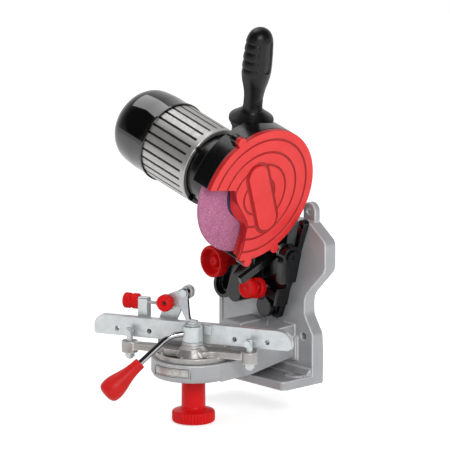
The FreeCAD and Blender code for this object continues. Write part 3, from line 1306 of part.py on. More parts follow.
def chain_stop_pieces():
    """The chain stop: adjusting knob and rod, carriage, lock knob and pawl, in the base frame."""
    line = V(0, STOP_ROD_W, STOP_ROD_Z)
    knob_right = STOP_TAB_S - GAP
    knob_left = knob_right - STOP_KNOB_LENGTH
    disc = STOP_KNOB_LENGTH * 0.46
    knob = fuse(
        aim(fluted(STOP_KNOB_R, 0.7, 20, disc), line + V(knob_left, 0, 0), V(1, 0, 0)),
        aim(fluted(STOP_KNOB_R, 0.7, 20, disc), line + V(knob_right - disc, 0, 0), V(1, 0, 0)),
        rod(STOP_KNOB_R - 1.6, line + V(knob_left, 0, 0), line + V(knob_right, 0, 0)),
    )
    rod_left = knob_left + 4
    lock_back = REAR_RAIL_BACK + 0.3
    lock_front = lock_back - STOP_LOCK_LENGTH
    at = V(STOP_LOCK_S, 0, STOP_LOCK_Z)
    lock = aim(fluted(STOP_LOCK_R, 0.7, 22, STOP_LOCK_LENGTH), at + V(0, lock_front, 0), V(0, 1, 0))
    dish = turned([(0, 0), (2.6, 0), (2.6, 3.0), (0, 3.2)], at + V(0, lock_front, 0), V(0, 1, 0))
    screw_bore = rod(STOP_LOCK_SCREW_R + FIT, at + V(0, lock_front + 3, 0), at + V(0, lock_back, 0))
    screw_start, screw_end = lock_front + 3 + FIT, STOP_ROD_W - STOP_ROD_R - 0.6
    pin_end = REAR_RAIL_BACK + STOP_STRIP + GAP + 4
    pin_head = -PAWL_WIDTH / 2 - GAP
    hub = V(PAWL_S, 0, PAWL_Z)
    pieces = {
        "stop_knob": knob.cut(rod(STOP_ROD_R + FIT, line + V(rod_left - FIT, 0, 0), line)),
        "stop_rod": rod(STOP_ROD_R, line + V(rod_left, 0, 0), line + V(CARRIAGE_S + 7, 0, 0)),
        "pawl_carriage": carriage(),
        "stop_lock_knob": lock.cut(dish).cut(screw_bore),
        "stop_lock_screw": rod(STOP_LOCK_SCREW_R, at + V(0, screw_start, 0), at + V(0, screw_end, 0)),
        "pawl": pawl(),
        "pawl_pin": fuse(
            rod(PAWL_PIN_R, hub + V(0, pin_head, 0), hub + V(0, pin_end, 0)),
            rod(PAWL_PIN_R + 1.6, hub + V(0, pin_head - 2, 0), hub + V(0, pin_head, 0)),
        ),
    }
    return {name: to_vise(shape) for name, shape in pieces.items()}


def main():
    """Build every piece and write one file for each."""
    os.makedirs("parts", exist_ok=True)
    makers = (
        base_pieces,
        tilt_lock_pieces,
        swivel_lock_pieces,
        bracket_pieces,
        depth_stop_pieces,
        head_pieces,
        vise_pieces,
        lever_pieces,
        chain_stop_pieces,
    )
    for maker in makers:
        for name, shape in maker().items():
            if not shape.isValid() or not shape.Solids:
                print("not sound:", name)
            shape.exportStep("parts/" + name + ".step")


main()
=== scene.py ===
"""Looks of a bench saw-chain grinder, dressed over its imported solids.

Every piece is placed in the solids' own frame: metres, +Z up, the operator on the -Y side. Sizes are
written in millimetres and turned into metres where a mesh is made.
"""
from __future__ import annotations

import json
import logging
import math
from dataclasses import dataclass, field
from enum import Enum
from typing import Any, Callable, Sequence

import bmesh
import bpy
import numpy as np
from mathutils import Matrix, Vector

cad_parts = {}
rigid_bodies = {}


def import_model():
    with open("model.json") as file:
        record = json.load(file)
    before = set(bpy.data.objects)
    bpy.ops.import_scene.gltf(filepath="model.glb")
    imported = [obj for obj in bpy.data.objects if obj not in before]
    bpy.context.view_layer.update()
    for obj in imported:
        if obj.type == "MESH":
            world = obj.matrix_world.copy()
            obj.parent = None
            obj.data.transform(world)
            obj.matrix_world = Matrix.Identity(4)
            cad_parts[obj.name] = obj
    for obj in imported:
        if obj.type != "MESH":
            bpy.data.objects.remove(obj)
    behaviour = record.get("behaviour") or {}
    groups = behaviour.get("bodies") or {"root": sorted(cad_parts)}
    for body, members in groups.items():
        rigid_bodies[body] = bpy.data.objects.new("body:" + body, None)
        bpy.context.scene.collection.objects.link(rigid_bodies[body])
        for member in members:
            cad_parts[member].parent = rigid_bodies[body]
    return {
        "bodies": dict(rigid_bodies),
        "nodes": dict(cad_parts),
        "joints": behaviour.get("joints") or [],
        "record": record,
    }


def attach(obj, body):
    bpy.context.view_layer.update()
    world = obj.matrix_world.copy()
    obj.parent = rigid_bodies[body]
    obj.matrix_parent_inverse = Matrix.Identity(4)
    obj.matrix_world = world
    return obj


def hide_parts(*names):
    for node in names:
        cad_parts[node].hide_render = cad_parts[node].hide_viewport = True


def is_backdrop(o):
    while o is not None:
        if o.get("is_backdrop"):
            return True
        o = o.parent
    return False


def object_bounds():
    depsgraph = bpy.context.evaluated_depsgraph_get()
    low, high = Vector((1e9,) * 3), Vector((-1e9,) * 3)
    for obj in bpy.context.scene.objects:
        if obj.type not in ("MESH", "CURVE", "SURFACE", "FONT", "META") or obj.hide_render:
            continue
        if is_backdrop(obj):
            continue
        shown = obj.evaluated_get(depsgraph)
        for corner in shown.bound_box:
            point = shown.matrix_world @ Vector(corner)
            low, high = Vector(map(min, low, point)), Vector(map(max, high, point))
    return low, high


LOG = logging.getLogger("chain_grinder")
MM = 0.001
Triple = tuple[float, float, float]
Colour = Triple
Span = tuple[float, float]
Corners = Sequence[Sequence[float]]
Marker = Callable[[np.ndarray], np.ndarray]
GRID_MERGE = 1e-6
SOLID_MERGE = 2e-6


def linear(red: float, green: float, blue: float) -> Colour:
    """A screen colour of 0 to 255 as linear light.

    Args:
        red, green, blue: The colour as it looks on a screen.

    Returns:
        The three linear values, by the two-part screen curve.
    """
    shares = np.array((red, green, blue)) / 255
    curve = np.where(shares <= 0.04045, shares / 12.92, ((shares + 0.055) / 1.055) ** 2.4)
    return tuple(float(v) for v in curve)


def maths(operation: str, swapped: bool = False) -> Callable[..., "Wire"]:
    """A Wire's operator: a method that adds a Math node for its wire and any other value."""

    def method(wire: "Wire", *others: Any) -> "Wire":
        """The node's result."""
        values = (*others, wire) if swapped else (wire, *others)
        return wire.graph.node("ShaderNodeMath", {"operation": operation}, dict(enumerate(values)))

    return method


class Wire:
    """A shader socket to use in a Python expression. A comparison is 1 where it holds, else 0."""

    __add__ = maths("ADD")
    __sub__ = maths("SUBTRACT")
    __rsub__ = maths("SUBTRACT", swapped=True)
    __mul__ = maths("MULTIPLY")
    __gt__ = maths("GREATER_THAN")
    __lt__ = maths("LESS_THAN")
    __abs__ = maths("ABSOLUTE")
    fraction = maths("FRACT")

    def __init__(self, graph: "Graph", socket: bpy.types.NodeSocket) -> None:
        """Keep the node tree that the socket belongs to, and the socket."""
        self.graph = graph
        self.socket = socket

    def clamped(self) -> "Wire":
        """This value, held between 0 and 1."""
        return self.graph.node("ShaderNodeClamp", {}, {0: self})


class Graph:
    """A node tree, with one method that adds any node to it."""

    def __init__(self, tree: bpy.types.NodeTree) -> None:
        """Keep the tree."""
        self.tree = tree

    def node(self, kind: str, settings: dict[str, Any], sockets: dict[Any, Any], out: Any = 0) -> Wire:
        """Add a node.

        Args:
            kind: The node's type.
            settings: Its own settings, set first.
            sockets: A value or a Wire for each socket.
            out: The output to use.

        Returns:
            The chosen output.
        """
        made = self.tree.nodes.new(kind)
        for key, value in settings.items():
            setattr(made, key, value)
        for key, value in sockets.items():
            self.feed(made.inputs[key], value)
        return Wire(self, made.outputs[out])

    def feed(self, socket: bpy.types.NodeSocket, value: Any) -> None:
        """Link a Wire to a socket, or set a plain value."""
        if isinstance(value, Wire):
            self.tree.links.new(value.socket, socket)
        elif isinstance(value, tuple) and socket.type == "RGBA":
            socket.default_value = (*value, 1)
        else:
            socket.default_value = value

    def remap(self, value: Wire, source: Span, target: Span = (0, 1)) -> Wire:
        """A value carried from one span to another and held there."""
        ends = dict(zip(("From Min", "From Max", "To Min", "To Max"), (*source, *target)))
        return self.node("ShaderNodeMapRange", {}, {"Value": value, **ends})

    def path(self, out: str) -> Wire:
        """What kind of ray is looking."""
        return self.node("ShaderNodeLightPath", {}, {}, out)


class Kit(Graph):
    """One material and the nodes that feed its shader."""

    def __init__(self, name: str) -> None:
        """Make an empty material with its principled shader."""
        self.material = bpy.data.materials.new(name)
        self.material.use_nodes = True
        super().__init__(self.material.node_tree)
        self.shader = self.tree.nodes["Principled BSDF"]

    def set(self, **values: Any) -> None:
        """Set or link the shader's sockets, with underscores for spaces."""
        for key, value in values.items():
            self.feed(self.shader.inputs[key.replace("_", " ")], value)

    def place(self, stretch: Triple = (1, 1, 1), turn: Triple = (0, 0, 0)) -> Wire:
        """The piece's own coordinates, turned and stretched."""
        coords = self.node("ShaderNodeTexCoord", {}, {}, "Object")
        if stretch == (1, 1, 1) and turn == (0, 0, 0):
            return coords
        return self.node("ShaderNodeMapping", {}, {"Vector": coords, "Scale": stretch, "Rotation": turn})

    def noise(self, size: float, detail: float = 3, at: Wire | None = None) -> Wire:
        """Cloudy noise of 0 to 1 with blots of about a size in millimetres."""
        sockets = {"Vector": at or self.place(), "Scale": 1 / (size * MM), "Detail": detail}
        return self.node("ShaderNodeTexNoise", {}, sockets, "Fac")

    def spread(self, value: Wire, low: float, high: float) -> Wire:
        """Stretch the middle of a noise so that it runs from low to high."""
        return self.remap(value, (0.3, 0.7), (low, high))

    def blend(self, share: Any, first: Any, second: Any) -> Wire:
        """Mix two colours."""
        sockets = {0: share, 6: first, 7: second}
        return self.node("ShaderNodeMix", {"data_type": "RGBA"}, sockets, 2)

    def mark(self, name: str) -> Wire:
        """A value stored on the mesh."""
        return self.node("ShaderNodeAttribute", {"attribute_name": name}, {}, "Fac")

    def bump(self, height: Wire, depth: float, strength: float = 1.0, over: Wire | None = None) -> Wire:
        """A bump of a depth in millimetres, over another bump if given."""
        sockets: dict[str, Any] = {"Height": height, "Distance": depth * MM, "Strength": strength}
        if over is not None:
            sockets["Normal"] = over
        return self.node("ShaderNodeBump", {}, sockets)


@dataclass(frozen=True)
class Finish:
    """Moulded plastic with a colour, a second colour it drifts to, and a sheen.

    Sizes of noises and depths of bumps are in millimetres, here and in the finishes that follow.
    """

    name: str
    colour: Colour
    drift: Colour
    roughness: float
    metallic: float = 0.0
    grain: float = 0.5
    depth: float = 0.01
    specular: float = 0.5

    def material(self) -> bpy.types.Material:
        """The material of this finish's name, made once."""
        known = bpy.data.materials.get(self.name)
        if known is not None:
            return known
        kit = Kit(self.name)
        kit.set(Metallic=self.metallic, Specular_IOR_Level=self.specular)
        self.dress(kit)
        return kit.material

    def tint(self, kit: Kit, noise: Wire) -> Wire:
        """The colour, drifting to the second colour where a noise is high."""
        return kit.blend(kit.spread(noise, 0, 1), self.colour, self.drift)

    def sheen(self, kit: Kit, size: float, shares: Span = (0.85, 1.2), detail: float = 3) -> Wire:
        """The roughness, cloudy between two shares of itself."""
        low, high = (self.roughness * share for share in shares)
        return kit.spread(kit.noise(size, detail), low, high)

    def skin(self, kit: Kit, detail: float = 2) -> Wire:
        """The bump of the fine grain."""
        return kit.bump(kit.noise(self.grain, detail), self.depth)

    def dress(self, kit: Kit) -> None:
        """Faint clouds in the colour and sheen, and a fine moulding grain."""
        kit.set(Base_Color=self.tint(kit, kit.noise(22)))
        kit.set(Roughness=self.sheen(kit, 6), Normal=self.skin(kit))


@dataclass(frozen=True, kw_only=True)
class CastPaint(Finish):
    """Paint on a casting: orange peel, and a painted highlight of paler colour along the eased edges."""

    edge: Colour
    edge_share: float
    wave: float = 9.0
    wave_depth: float = 0.06

    def dress(self, kit: Kit) -> None:
        """Cloudy paint with peel over slow waves, and a painted highlight on the marked edges."""
        paint = self.tint(kit, kit.noise(35, 4))
        # painted highlight: the eased edges are blended toward the paler edge colour, broken up by noise
        painted_edge_highlight = kit.mark("edge") * kit.spread(kit.noise(7), 0.55, 1) * self.edge_share
        kit.set(Base_Color=kit.blend(painted_edge_highlight, paint, self.edge), Roughness=self.sheen(kit, 5))
        kit.set(Normal=kit.bump(kit.noise(self.wave, 2), self.wave_depth, 0.5, self.skin(kit)))


@dataclass(frozen=True, kw_only=True)
class CoverMoulding(Finish):
    """Red moulding: painted shade, deeper red in its grooves; a painted highlight, paler along its edges.
    """

    groove_shade: Colour
    edge: Colour
    groove_shade_share: float = 0.8
    edge_share: float = 0.35

    def dress(self, kit: Kit) -> None:
        """Even colour with a fine grain, painted shade in the grooves and a painted highlight on the
        edges.
        """
        # painted highlight: the eased edges are blended toward the paler edge colour
        body = kit.blend(kit.mark("edge") * self.edge_share, self.tint(kit, kit.noise(26)), self.edge)
        # painted shade: faces marked deep, in the grooves and behind the face, are blended to the dark
        # groove colour
        kit.set(Base_Color=kit.blend(kit.mark("deep") * self.groove_shade_share, body, self.groove_shade))
        kit.set(Roughness=self.sheen(kit, 6), Normal=self.skin(kit))


@dataclass(frozen=True)
class Plated(Finish):
    """Plated steel: soft blots in the plating and fine rubbing lines."""

    lines: float = 0.5
    line_stretch: Triple = (1, 1, 0.06)
    line_turn: Triple = (0.3, 0.5, 0.4)

    def dress(self, kit: Kit) -> None:
        """Blotchy plate, with fine scratches in the sheen."""
        rubbed = kit.noise(self.grain, 2, kit.place(self.line_stretch, self.line_turn))
        dull = kit.spread(rubbed, 0, 0.06) * self.lines
        kit.set(Base_Color=self.tint(kit, kit.noise(9, 5)))
        kit.set(Roughness=self.sheen(kit, 4, (0.8, 1.25)) + dull)
        kit.set(Normal=kit.bump(rubbed, self.depth, self.lines))


@dataclass(frozen=True, kw_only=True)
class FinnedTube(Finish):
    """Extruded aluminium: brushed along its length, with painted shade: dark floors between the fins."""

    floor: Colour
    floor_dull: float = 0.3
    brush_stretch: Triple = (0.05, 1, 1)

    def dress(self, kit: Kit) -> None:
        """Brushed lines along the tube; painted shade, dark and dull, where the mesh is marked deep."""
        deep = kit.mark("deep")
        brushed = kit.noise(self.grain, 3, kit.place(self.brush_stretch))
        # painted shade: the floors between the fins are blended to the dark floor colour
        kit.set(Base_Color=kit.blend(deep, self.tint(kit, brushed), self.floor))
        kit.set(Metallic=(1 - deep) * self.metallic)
        kit.set(Roughness=self.sheen(kit, 5, (0.9, 1.15)) + deep * self.floor_dull)
        kit.set(Normal=kit.bump(brushed, self.depth, 0.5))


@dataclass(frozen=True)
class RawCasting(Finish):
    """Unpainted die-cast metal: flow marks, a grainy skin and brighter colour along the eased edges."""

    edge: Colour = (0.85, 0.83, 0.8)
    edge_share: float = 0.6
    flow_stretch: Triple = (1, 0.4, 1)

    def dress(self, kit: Kit) -> None:
        """Drifting tone with flow marks."""
        metal = self.tint(kit, kit.noise(16, 6, kit.place(self.flow_stretch)))
        kit.set(Base_Color=kit.blend(kit.mark("edge") * self.edge_share, metal, self.edge))
        kit.set(Roughness=self.sheen(kit, 3, (0.8, 1.3), 4), Normal=self.skin(kit, 4))


@dataclass(frozen=True)
class Abrasive(Finish):
    """Bonded abrasive: close grains, the brightest of them pale, with pores between them."""

    pale: Colour = (0.8, 0.6, 0.7)
    pale_share: float = 0.32
    pale_from: Span = (0.45, 0.9)
    pore: float = 0.6

    def dress(self, kit: Kit) -> None:
        """Grains as small cells, each with its own tone, over a slow drift."""
        cells = {"Vector": kit.place(), "Scale": 1 / (self.grain * MM)}
        own = kit.node("ShaderNodeTexVoronoi", {}, cells, "Color")
        tone = kit.node("ShaderNodeRGBToBW", {}, {0: own})
        gap = kit.node("ShaderNodeTexVoronoi", {}, cells, "Distance")
        lit = kit.remap(tone, self.pale_from) * self.pale_share
        body = self.tint(kit, kit.noise(14, 4))
        kit.set(Base_Color=kit.blend(lit, body, self.pale), Roughness=self.roughness)
        kit.set(Normal=kit.bump(tone - gap * self.pore, self.depth))


@dataclass(frozen=True, kw_only=True)
class ScaleFoil(Finish):
    """A metal scale: a dark frame and plain ticks, placed by the band's own "along" and "up"."""

    ink: Colour
    ticks: float = 30.0
    group: float = 5.0
    frame_side: Span = (0.468, 0.482)
    frame_level: Span = (0.36, 0.42)
    short_half: float = 0.11
    short_low: float = 0.6
    long_half: float = 0.024
    long_low: float = 0.42
    tick_top: float = 0.8
    tick_side: float = 0.45

    def dress(self, kit: Kit) -> None:
        """Foil with a framed border, short ticks, and a longer tick for each group."""
        along, up = kit.mark("along"), kit.mark("up")
        side, tall = abs(along - 0.5), abs(up - 0.5)
        within = (side < self.frame_side[1]) * (tall < self.frame_level[1])
        frame = within * ((side > self.frame_side[0]) + (tall > self.frame_level[0]))
        short = abs((along * self.ticks).fraction() - 0.5) < self.short_half
        long = abs((along * (self.ticks / self.group)).fraction() - 0.5) < self.long_half
        ruled = short * (up > self.short_low) + long * (up > self.long_low)
        ruled = ruled * (up < self.tick_top) * (side < self.tick_side)
        print_share = (frame + ruled).clamped() * kit.spread(kit.noise(0.8), 0.65, 1)
        kit.set(Base_Color=kit.blend(print_share, self.tint(kit, kit.noise(7, 4)), self.ink))
        kit.set(Roughness=self.sheen(kit, 4), Normal=self.skin(kit))


class Tone(Enum):
    """The finishes of this machine's pieces."""

    # edge: the painted highlight colour for the eased edges of the silver base
    BASE = CastPaint(
        "silver_base_paint", linear(168, 169, 171), linear(157, 158, 161), 0.42, metallic=0.3, grain=0.7,
        depth=0.012, specular=0.4, edge=linear(214, 215, 217), edge_share=0.75,
    )
    # edge: the painted highlight colour for the eased edges of the black castings
    BLACK = CastPaint(
        "satin_black_casting", linear(10, 10, 11), linear(7, 7, 8), 0.22, grain=0.6, specular=0.4,
        edge=linear(34, 34, 36), edge_share=0.5,
    )
    # groove: the painted shade colour in the grooves; edge: the painted highlight colour on the eased
    # edges
    COVER = CoverMoulding(
        "cover_red_moulding", linear(224, 56, 55), linear(217, 48, 48), 0.4, specular=0.3,
        groove_shade=linear(146, 12, 15), edge=linear(232, 84, 82),
    )
    KNOB = Finish("knob_red_moulding", linear(212, 20, 23), linear(203, 14, 17), 0.36, specular=0.16)
    LEVER = Finish("lever_red_moulding", linear(196, 30, 29), linear(188, 24, 23), 0.4, specular=0.18)
    CAP = Finish(
        "cap_gloss_black", linear(6, 6, 7), linear(4, 4, 5), 0.06, grain=2.5, depth=0.003, specular=0.8,
    )
    SWITCH = Finish("switch_black", linear(16, 16, 17), linear(12, 12, 13), 0.35, specular=0.35)
    GRIP = Finish(
        "grip_black_moulding", linear(13, 13, 13), linear(9, 9, 9), 0.36, grain=0.45, depth=0.012,
        specular=0.3,
    )
    ZINC = Plated(
        "zinc_plate", linear(206, 209, 209), linear(190, 197, 199), 0.34, metallic=0.6, depth=0.004,
    )
    SPRING = Plated(
        "spring_wire", linear(170, 172, 175), linear(150, 152, 156), 0.28, metallic=1.0, depth=0.006,
    )
    STEEL = Plated(
        "machined_steel", linear(186, 188, 190), linear(172, 175, 178), 0.26, metallic=1.0, depth=0.008,
        lines=1.0,
    )
    OXIDE = Plated(
        "black_oxide_steel", linear(26, 26, 28), linear(18, 18, 20), 0.36, metallic=0.4, depth=0.004,
        specular=0.4,
    )
    CORE = Plated("laminated_steel", linear(98, 98, 101), linear(84, 84, 88), 0.5, metallic=0.9)
    CHROME = Plated(
        "polished_chrome", linear(168, 169, 172), linear(152, 154, 158), 0.1, metallic=1.0, depth=0.002,
        lines=0.2,
    )
    CARRIER = RawCasting(
        "raw_cast_aluminium", linear(173, 171, 168), linear(157, 155, 152), 0.42, metallic=0.7, grain=0.9,
        depth=0.02,
    )
    # floor: the painted shade colour for the floors between the fins
    TUBE = FinnedTube(
        "finned_aluminium", linear(186, 185, 183), linear(170, 169, 167), 0.46, metallic=0.8, grain=0.7,
        depth=0.004, floor=linear(34, 34, 35),
    )
    WHEEL = Abrasive(
        "pink_abrasive", linear(175, 101, 136), linear(164, 90, 126), 0.9, grain=0.7, depth=0.12,
        specular=0.2,
    )
    PAPER = Finish("navy_washer_paper", linear(30, 38, 84), linear(24, 31, 74), 0.6, grain=0.6)
    FOIL = ScaleFoil(
        "printed_scale", linear(188, 187, 183), linear(172, 171, 167), 0.38, metallic=0.5, grain=0.4,
        depth=0.004, ink=linear(38, 38, 40),
    )

    def material(self) -> bpy.types.Material:
        """The finish's material."""
        return self.value.material()


@dataclass(frozen=True)
class Axes:
    """A place: an origin in millimetres and three directions, as rows."""

    origin: np.ndarray
    rows: np.ndarray

    def out(self, points: np.ndarray) -> np.ndarray:
        """Points of this place in metres of the solids' frame: the origin plus a share of each row."""
        return (self.origin + points @ self.rows) * MM

    def inward(self, points: np.ndarray) -> np.ndarray:
        """Points in metres of the solids' frame, as millimetres of this place."""
        return (points / MM - self.origin) @ self.rows.T

    def moved(self, x: float, y: float, z: float) -> "Axes":
        """The same directions about another point of this place."""
        return Axes(self.origin + np.array((x, y, z)) @ self.rows, self.rows)

    def facing(self, x: float, y: float, z: float) -> "Axes":
        """This place turned so that its third row runs along a direction of its own."""
        third = np.array((x, y, z)) / math.sqrt(x * x + y * y + z * z)
        side = np.array((1.0, 0, 0)) if abs(third[0]) < 0.9 else np.array((0, 1.0, 0))
        first = side - third * (side @ third)
        first = first / np.linalg.norm(first)
        second = np.cross(third, first)
        return Axes(self.origin, np.stack((first, second, third)) @ self.rows)


def turned(origin: Sequence[float], degrees: float, about_y: bool = False) -> Axes:
    """A place turned about +Z, or about +Y by carrying each of z, x, y to x, y, z."""
    c, s = math.cos(math.radians(degrees)), math.sin(math.radians(degrees))
    rows = np.array(((c, s, 0), (-s, c, 0), (0, 0, 1)))
    return Axes(np.array(origin, float), np.roll(rows, -1, (0, 1)) if about_y else rows)


TILT_PIVOT, TILT_REST = (0, 0, 81), 15
WHEEL_AT = (0, -58.671, 148.567)
VISE_AT, VISE_REST = (0, -105.0, 0), 25.6
LEVER_AT, LEVER_REST = (6, -17.4, 0), 60

BASE = Axes(np.zeros(3), np.eye(3))
BRACKET = turned(TILT_PIVOT, TILT_REST, about_y=True)
HEAD = BRACKET.moved(*WHEEL_AT)
VISE = turned(VISE_AT, VISE_REST)
LEVER = turned(VISE.moved(*LEVER_AT).origin, LEVER_REST)


def smooth_line(stations: Corners, count: int) -> np.ndarray:
    """A smooth line through stations.

    Each gap is a Hermite cubic whose end slopes are half the step between the neighbouring stations.

    Args:
        stations: The points to pass through.
        count: How many points each gap gets.

    Returns:
        The line's points, one row each.
    """
    p = np.array(stations, float)
    slope = np.gradient(p, axis=0)
    t = np.linspace(0, 1, count, endpoint=False)[:, None]
    a, b, c, d = 2 * t**3 - 3 * t**2 + 1, t**3 - 2 * t**2 + t, 3 * t**2 - 2 * t**3, t**3 - t**2
    runs = [a * p[i] + b * slope[i] + c * p[i + 1] + d * slope[i + 1] for i in range(len(p) - 1)]
    return np.concatenate(runs + [p[-1:]])


def rounded_line(corners: Corners, count: int = 5) -> np.ndarray:
    """A line through corners (along, out, round), each corner cut by a quadratic curve of that reach.

    Args:
        corners: The corners, with the reach of their rounding.
        count: How many points each rounded corner gets.

    Returns:
        The line's points as (along, out).
    """
    p = np.array([c[:2] for c in corners], float)
    reach = [c[2] if len(c) > 2 else 0.0 for c in corners]
    t = np.linspace(0, 1, count)[:, None]
    out = [p[:1]]
    for i in range(1, len(p) - 1):
        back, on = p[i - 1] - p[i], p[i + 1] - p[i]
        if reach[i] == 0:
            out.append(p[i : i + 1])
            continue
        start = p[i] + back / np.linalg.norm(back) * reach[i]
        stop = p[i] + on / np.linalg.norm(on) * reach[i]
        out.append((1 - t) ** 2 * start + 2 * t * (1 - t) * p[i] + t**2 * stop)
    return np.concatenate(out + [p[-1:]])


def smooth_step(value: np.ndarray, low: float, high: float) -> np.ndarray:
    """0 below low, 1 above high, and the cubic 3t^2 - 2t^3 of the share t between them."""
    t = np.clip((value - low) / (high - low), 0, 1)
    return t * t * (3 - 2 * t)


def grid_mesh(
    name: str, points: np.ndarray, marks: dict[str, np.ndarray] | None = None, crease: float = 40,
) -> bpy.types.Object:
    """An object from rings of points.

    Args:
        name: The piece's name.
        points: The rings, in metres, as rows by columns by 3; the last column joins the first.
        marks: Values to store on the points, each of the same rows and columns.
        crease: Edges sharper than this many degrees stay sharp.

    Returns:
        The object, its doubles merged and its faces turned outwards.
    """
    rows, columns = points.shape[:2]
    index = np.arange(rows * columns).reshape(rows, columns)
    index = np.concatenate((index, index[:, :1]), axis=1)
    near, far = index[:-1], index[1:]
    quads = np.stack((near[:, :-1], far[:, :-1], far[:, 1:], near[:, 1:]), axis=-1).reshape(-1, 4)
    mesh = bpy.data.meshes.new(name)
    mesh.from_pydata(points.reshape(-1, 3), [], quads)
    for mark, values in (marks or {}).items():
        layer = mesh.attributes.new(mark, "FLOAT", "POINT")
        layer.data.foreach_set("value", values.ravel().astype(np.float32))
    shape = bmesh.new()
    shape.from_mesh(mesh)
    bmesh.ops.remove_doubles(shape, verts=shape.verts, dist=GRID_MERGE)
    bmesh.ops.recalc_face_normals(shape, faces=shape.faces)
    shape.to_mesh(mesh)
    shape.free()
    return shown(name, mesh, crease)


def shown(name: str, mesh: bpy.types.Mesh, crease: float) -> bpy.types.Object:
    """An object of a mesh, shaded smooth up to a crease angle in degrees."""
    mesh.shade_smooth()
    mesh.set_sharp_from_angle(angle=math.radians(crease))
    return linked(name, mesh)


def linked(name: str, data: bpy.types.ID) -> bpy.types.Object:
    """A new object of some data, in the scene."""
    obj = bpy.data.objects.new(name, data)
    bpy.context.scene.collection.objects.link(obj)
    return obj


@dataclass(frozen=True)
class Flutes:
    """Straight grooves round a hand wheel's rim."""

    count: int
    depth: float
    rim: float
    fade: float = 1.6
    full: float = 0.4
    steep: float = 6.0

    def cut(self, radius: np.ndarray, turns: np.ndarray) -> np.ndarray:
        """What to take off a radius: a steepened cosine of the turn, full at the rim, fading below."""
        wave = 1 / (1 + np.exp(self.steep * np.cos(self.count * turns) + 1))
        return self.depth * smooth_step(radius, self.rim - self.fade, self.rim - self.full) * wave


def revolved(
    name: str, place: Axes, line: np.ndarray, count: int = 96, flutes: Flutes | None = None,
) -> bpy.types.Object:
    """A turned piece about a place's third row.

    A point is (r cos a, r sin a, along), where r is the line's radius less the flutes' depth.

    Args:
        name: The piece's name.
        place: Where its axis is.
        line: The profile as (along, radius), from the axis to the axis or closed on itself.
        count: Points round the axis.
        flutes: Grooves round the rim, if any.

    Returns:
        The object.
    """
    turns = np.linspace(0, 2 * math.pi, count, endpoint=False)
    radius = np.repeat(line[:, 1:2], count, axis=1)
    if flutes is not None:
        radius = radius - flutes.cut(radius, turns)
    along = np.repeat(line[:, :1], count, axis=1)
    points = np.stack((radius * np.cos(turns), radius * np.sin(turns), along), axis=-1)
    return grid_mesh(name, place.out(points))


@dataclass
class Bench:
    """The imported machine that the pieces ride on."""

    frame: dict[str, Any]
    body_of: dict[str, str] = field(init=False)
    slot_of: dict[str, str] = field(init=False)
    flat_angle: float = math.radians(0.6)
    sharp_angle: float = math.radians(32)
    short_share: float = 0.45
    crease: float = 45.0

    def __post_init__(self) -> None:
        """Look up each solid's body and material slot in the record."""
        record = self.frame["record"]
        self.body_of = {n: b for b, nodes in record["behaviour"]["bodies"].items() for n in nodes}
        self.slot_of = {s["node"]: s["material_slot"] for s in record["subparts"]}

    def dress(self, obj: bpy.types.Object, tone: Tone) -> None:
        """Give an object one finish."""
        obj.data.materials.clear()
        obj.data.materials.append(tone.material())

    def add(self, obj: bpy.types.Object, tone: Tone, node: str) -> None:
        """Dress a new piece and put it in the place of a solid.

        Args:
            obj: The piece.
            tone: Its finish.
            node: The solid that it stands for, whose body it takes.
        """
        self.dress(obj, tone)
        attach(obj, self.body_of[node])
        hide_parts(node)
        LOG.info("%s on %s, %d faces", obj.name, self.body_of[node], len(obj.data.polygons))

    def softened(self, node: str, width: float, deep: Marker | None = None) -> bpy.types.Object:
        """A copy of a solid with its sharp edges eased and marked.

        Args:
            node: The solid's name.
            width: The easing's width in millimetres.
            deep: Says which face centres, in metres, lie in grooves.

        Returns:
            The copy, whose "edge" is 1 on the eased faces and whose "deep" is 1 in the grooves.
        """
        shape = bmesh.new()
        shape.from_mesh(self.frame["nodes"][node].data)
        bmesh.ops.remove_doubles(shape, verts=shape.verts, dist=SOLID_MERGE)
        bmesh.ops.dissolve_limit(shape, angle_limit=self.flat_angle, verts=shape.verts, edges=shape.edges)
        short = self.short_share * width * MM
        sharp = [
            e for e in shape.edges
            if e.is_manifold and e.calc_face_angle(0) > self.sharp_angle
            and all(other.calc_length() > short for v in e.verts for other in v.link_edges)
        ]
        layer = shape.faces.layers.float.new("edge")
        eased = bmesh.ops.bevel(
            shape, geom=sharp, offset=width * MM, offset_type="OFFSET", segments=2, profile=0.5,
            affect="EDGES", clamp_overlap=False,
        )
        for face in eased["faces"]:
            face[layer] = 1.0
        mesh = bpy.data.meshes.new(node + "_eased")
        shape.to_mesh(mesh)
        shape.free()
        if deep is not None:
            centres = np.empty(len(mesh.polygons) * 3)
            mesh.polygons.foreach_get("center", centres)
            values = deep(centres.reshape(-1, 3)).astype(np.float32)
            mesh.attributes.new("deep", "FLOAT", "FACE").data.foreach_set("value", values)
        obj = shown(node + "_eased", mesh, self.crease)
        weighted = obj.modifiers.new("flat faces", "WEIGHTED_NORMAL")
        weighted.keep_sharp = True
        return obj


@dataclass(frozen=True)
class HandWheel:
    """A red knob: a profile (along, radius, round) turned about its axis, with flutes on its rim."""

    node: str
    place: Axes
    flutes: Flutes
    corners: Corners

    def build(self, bench: Bench) -> None:
        """Turn the profile and put it in its solid's place."""
        line = rounded_line(self.corners, 4)
        obj = revolved(self.node + "_turned", self.place, line, self.flutes.count * 8, self.flutes)
        bench.add(obj, Tone.KNOB, self.node)


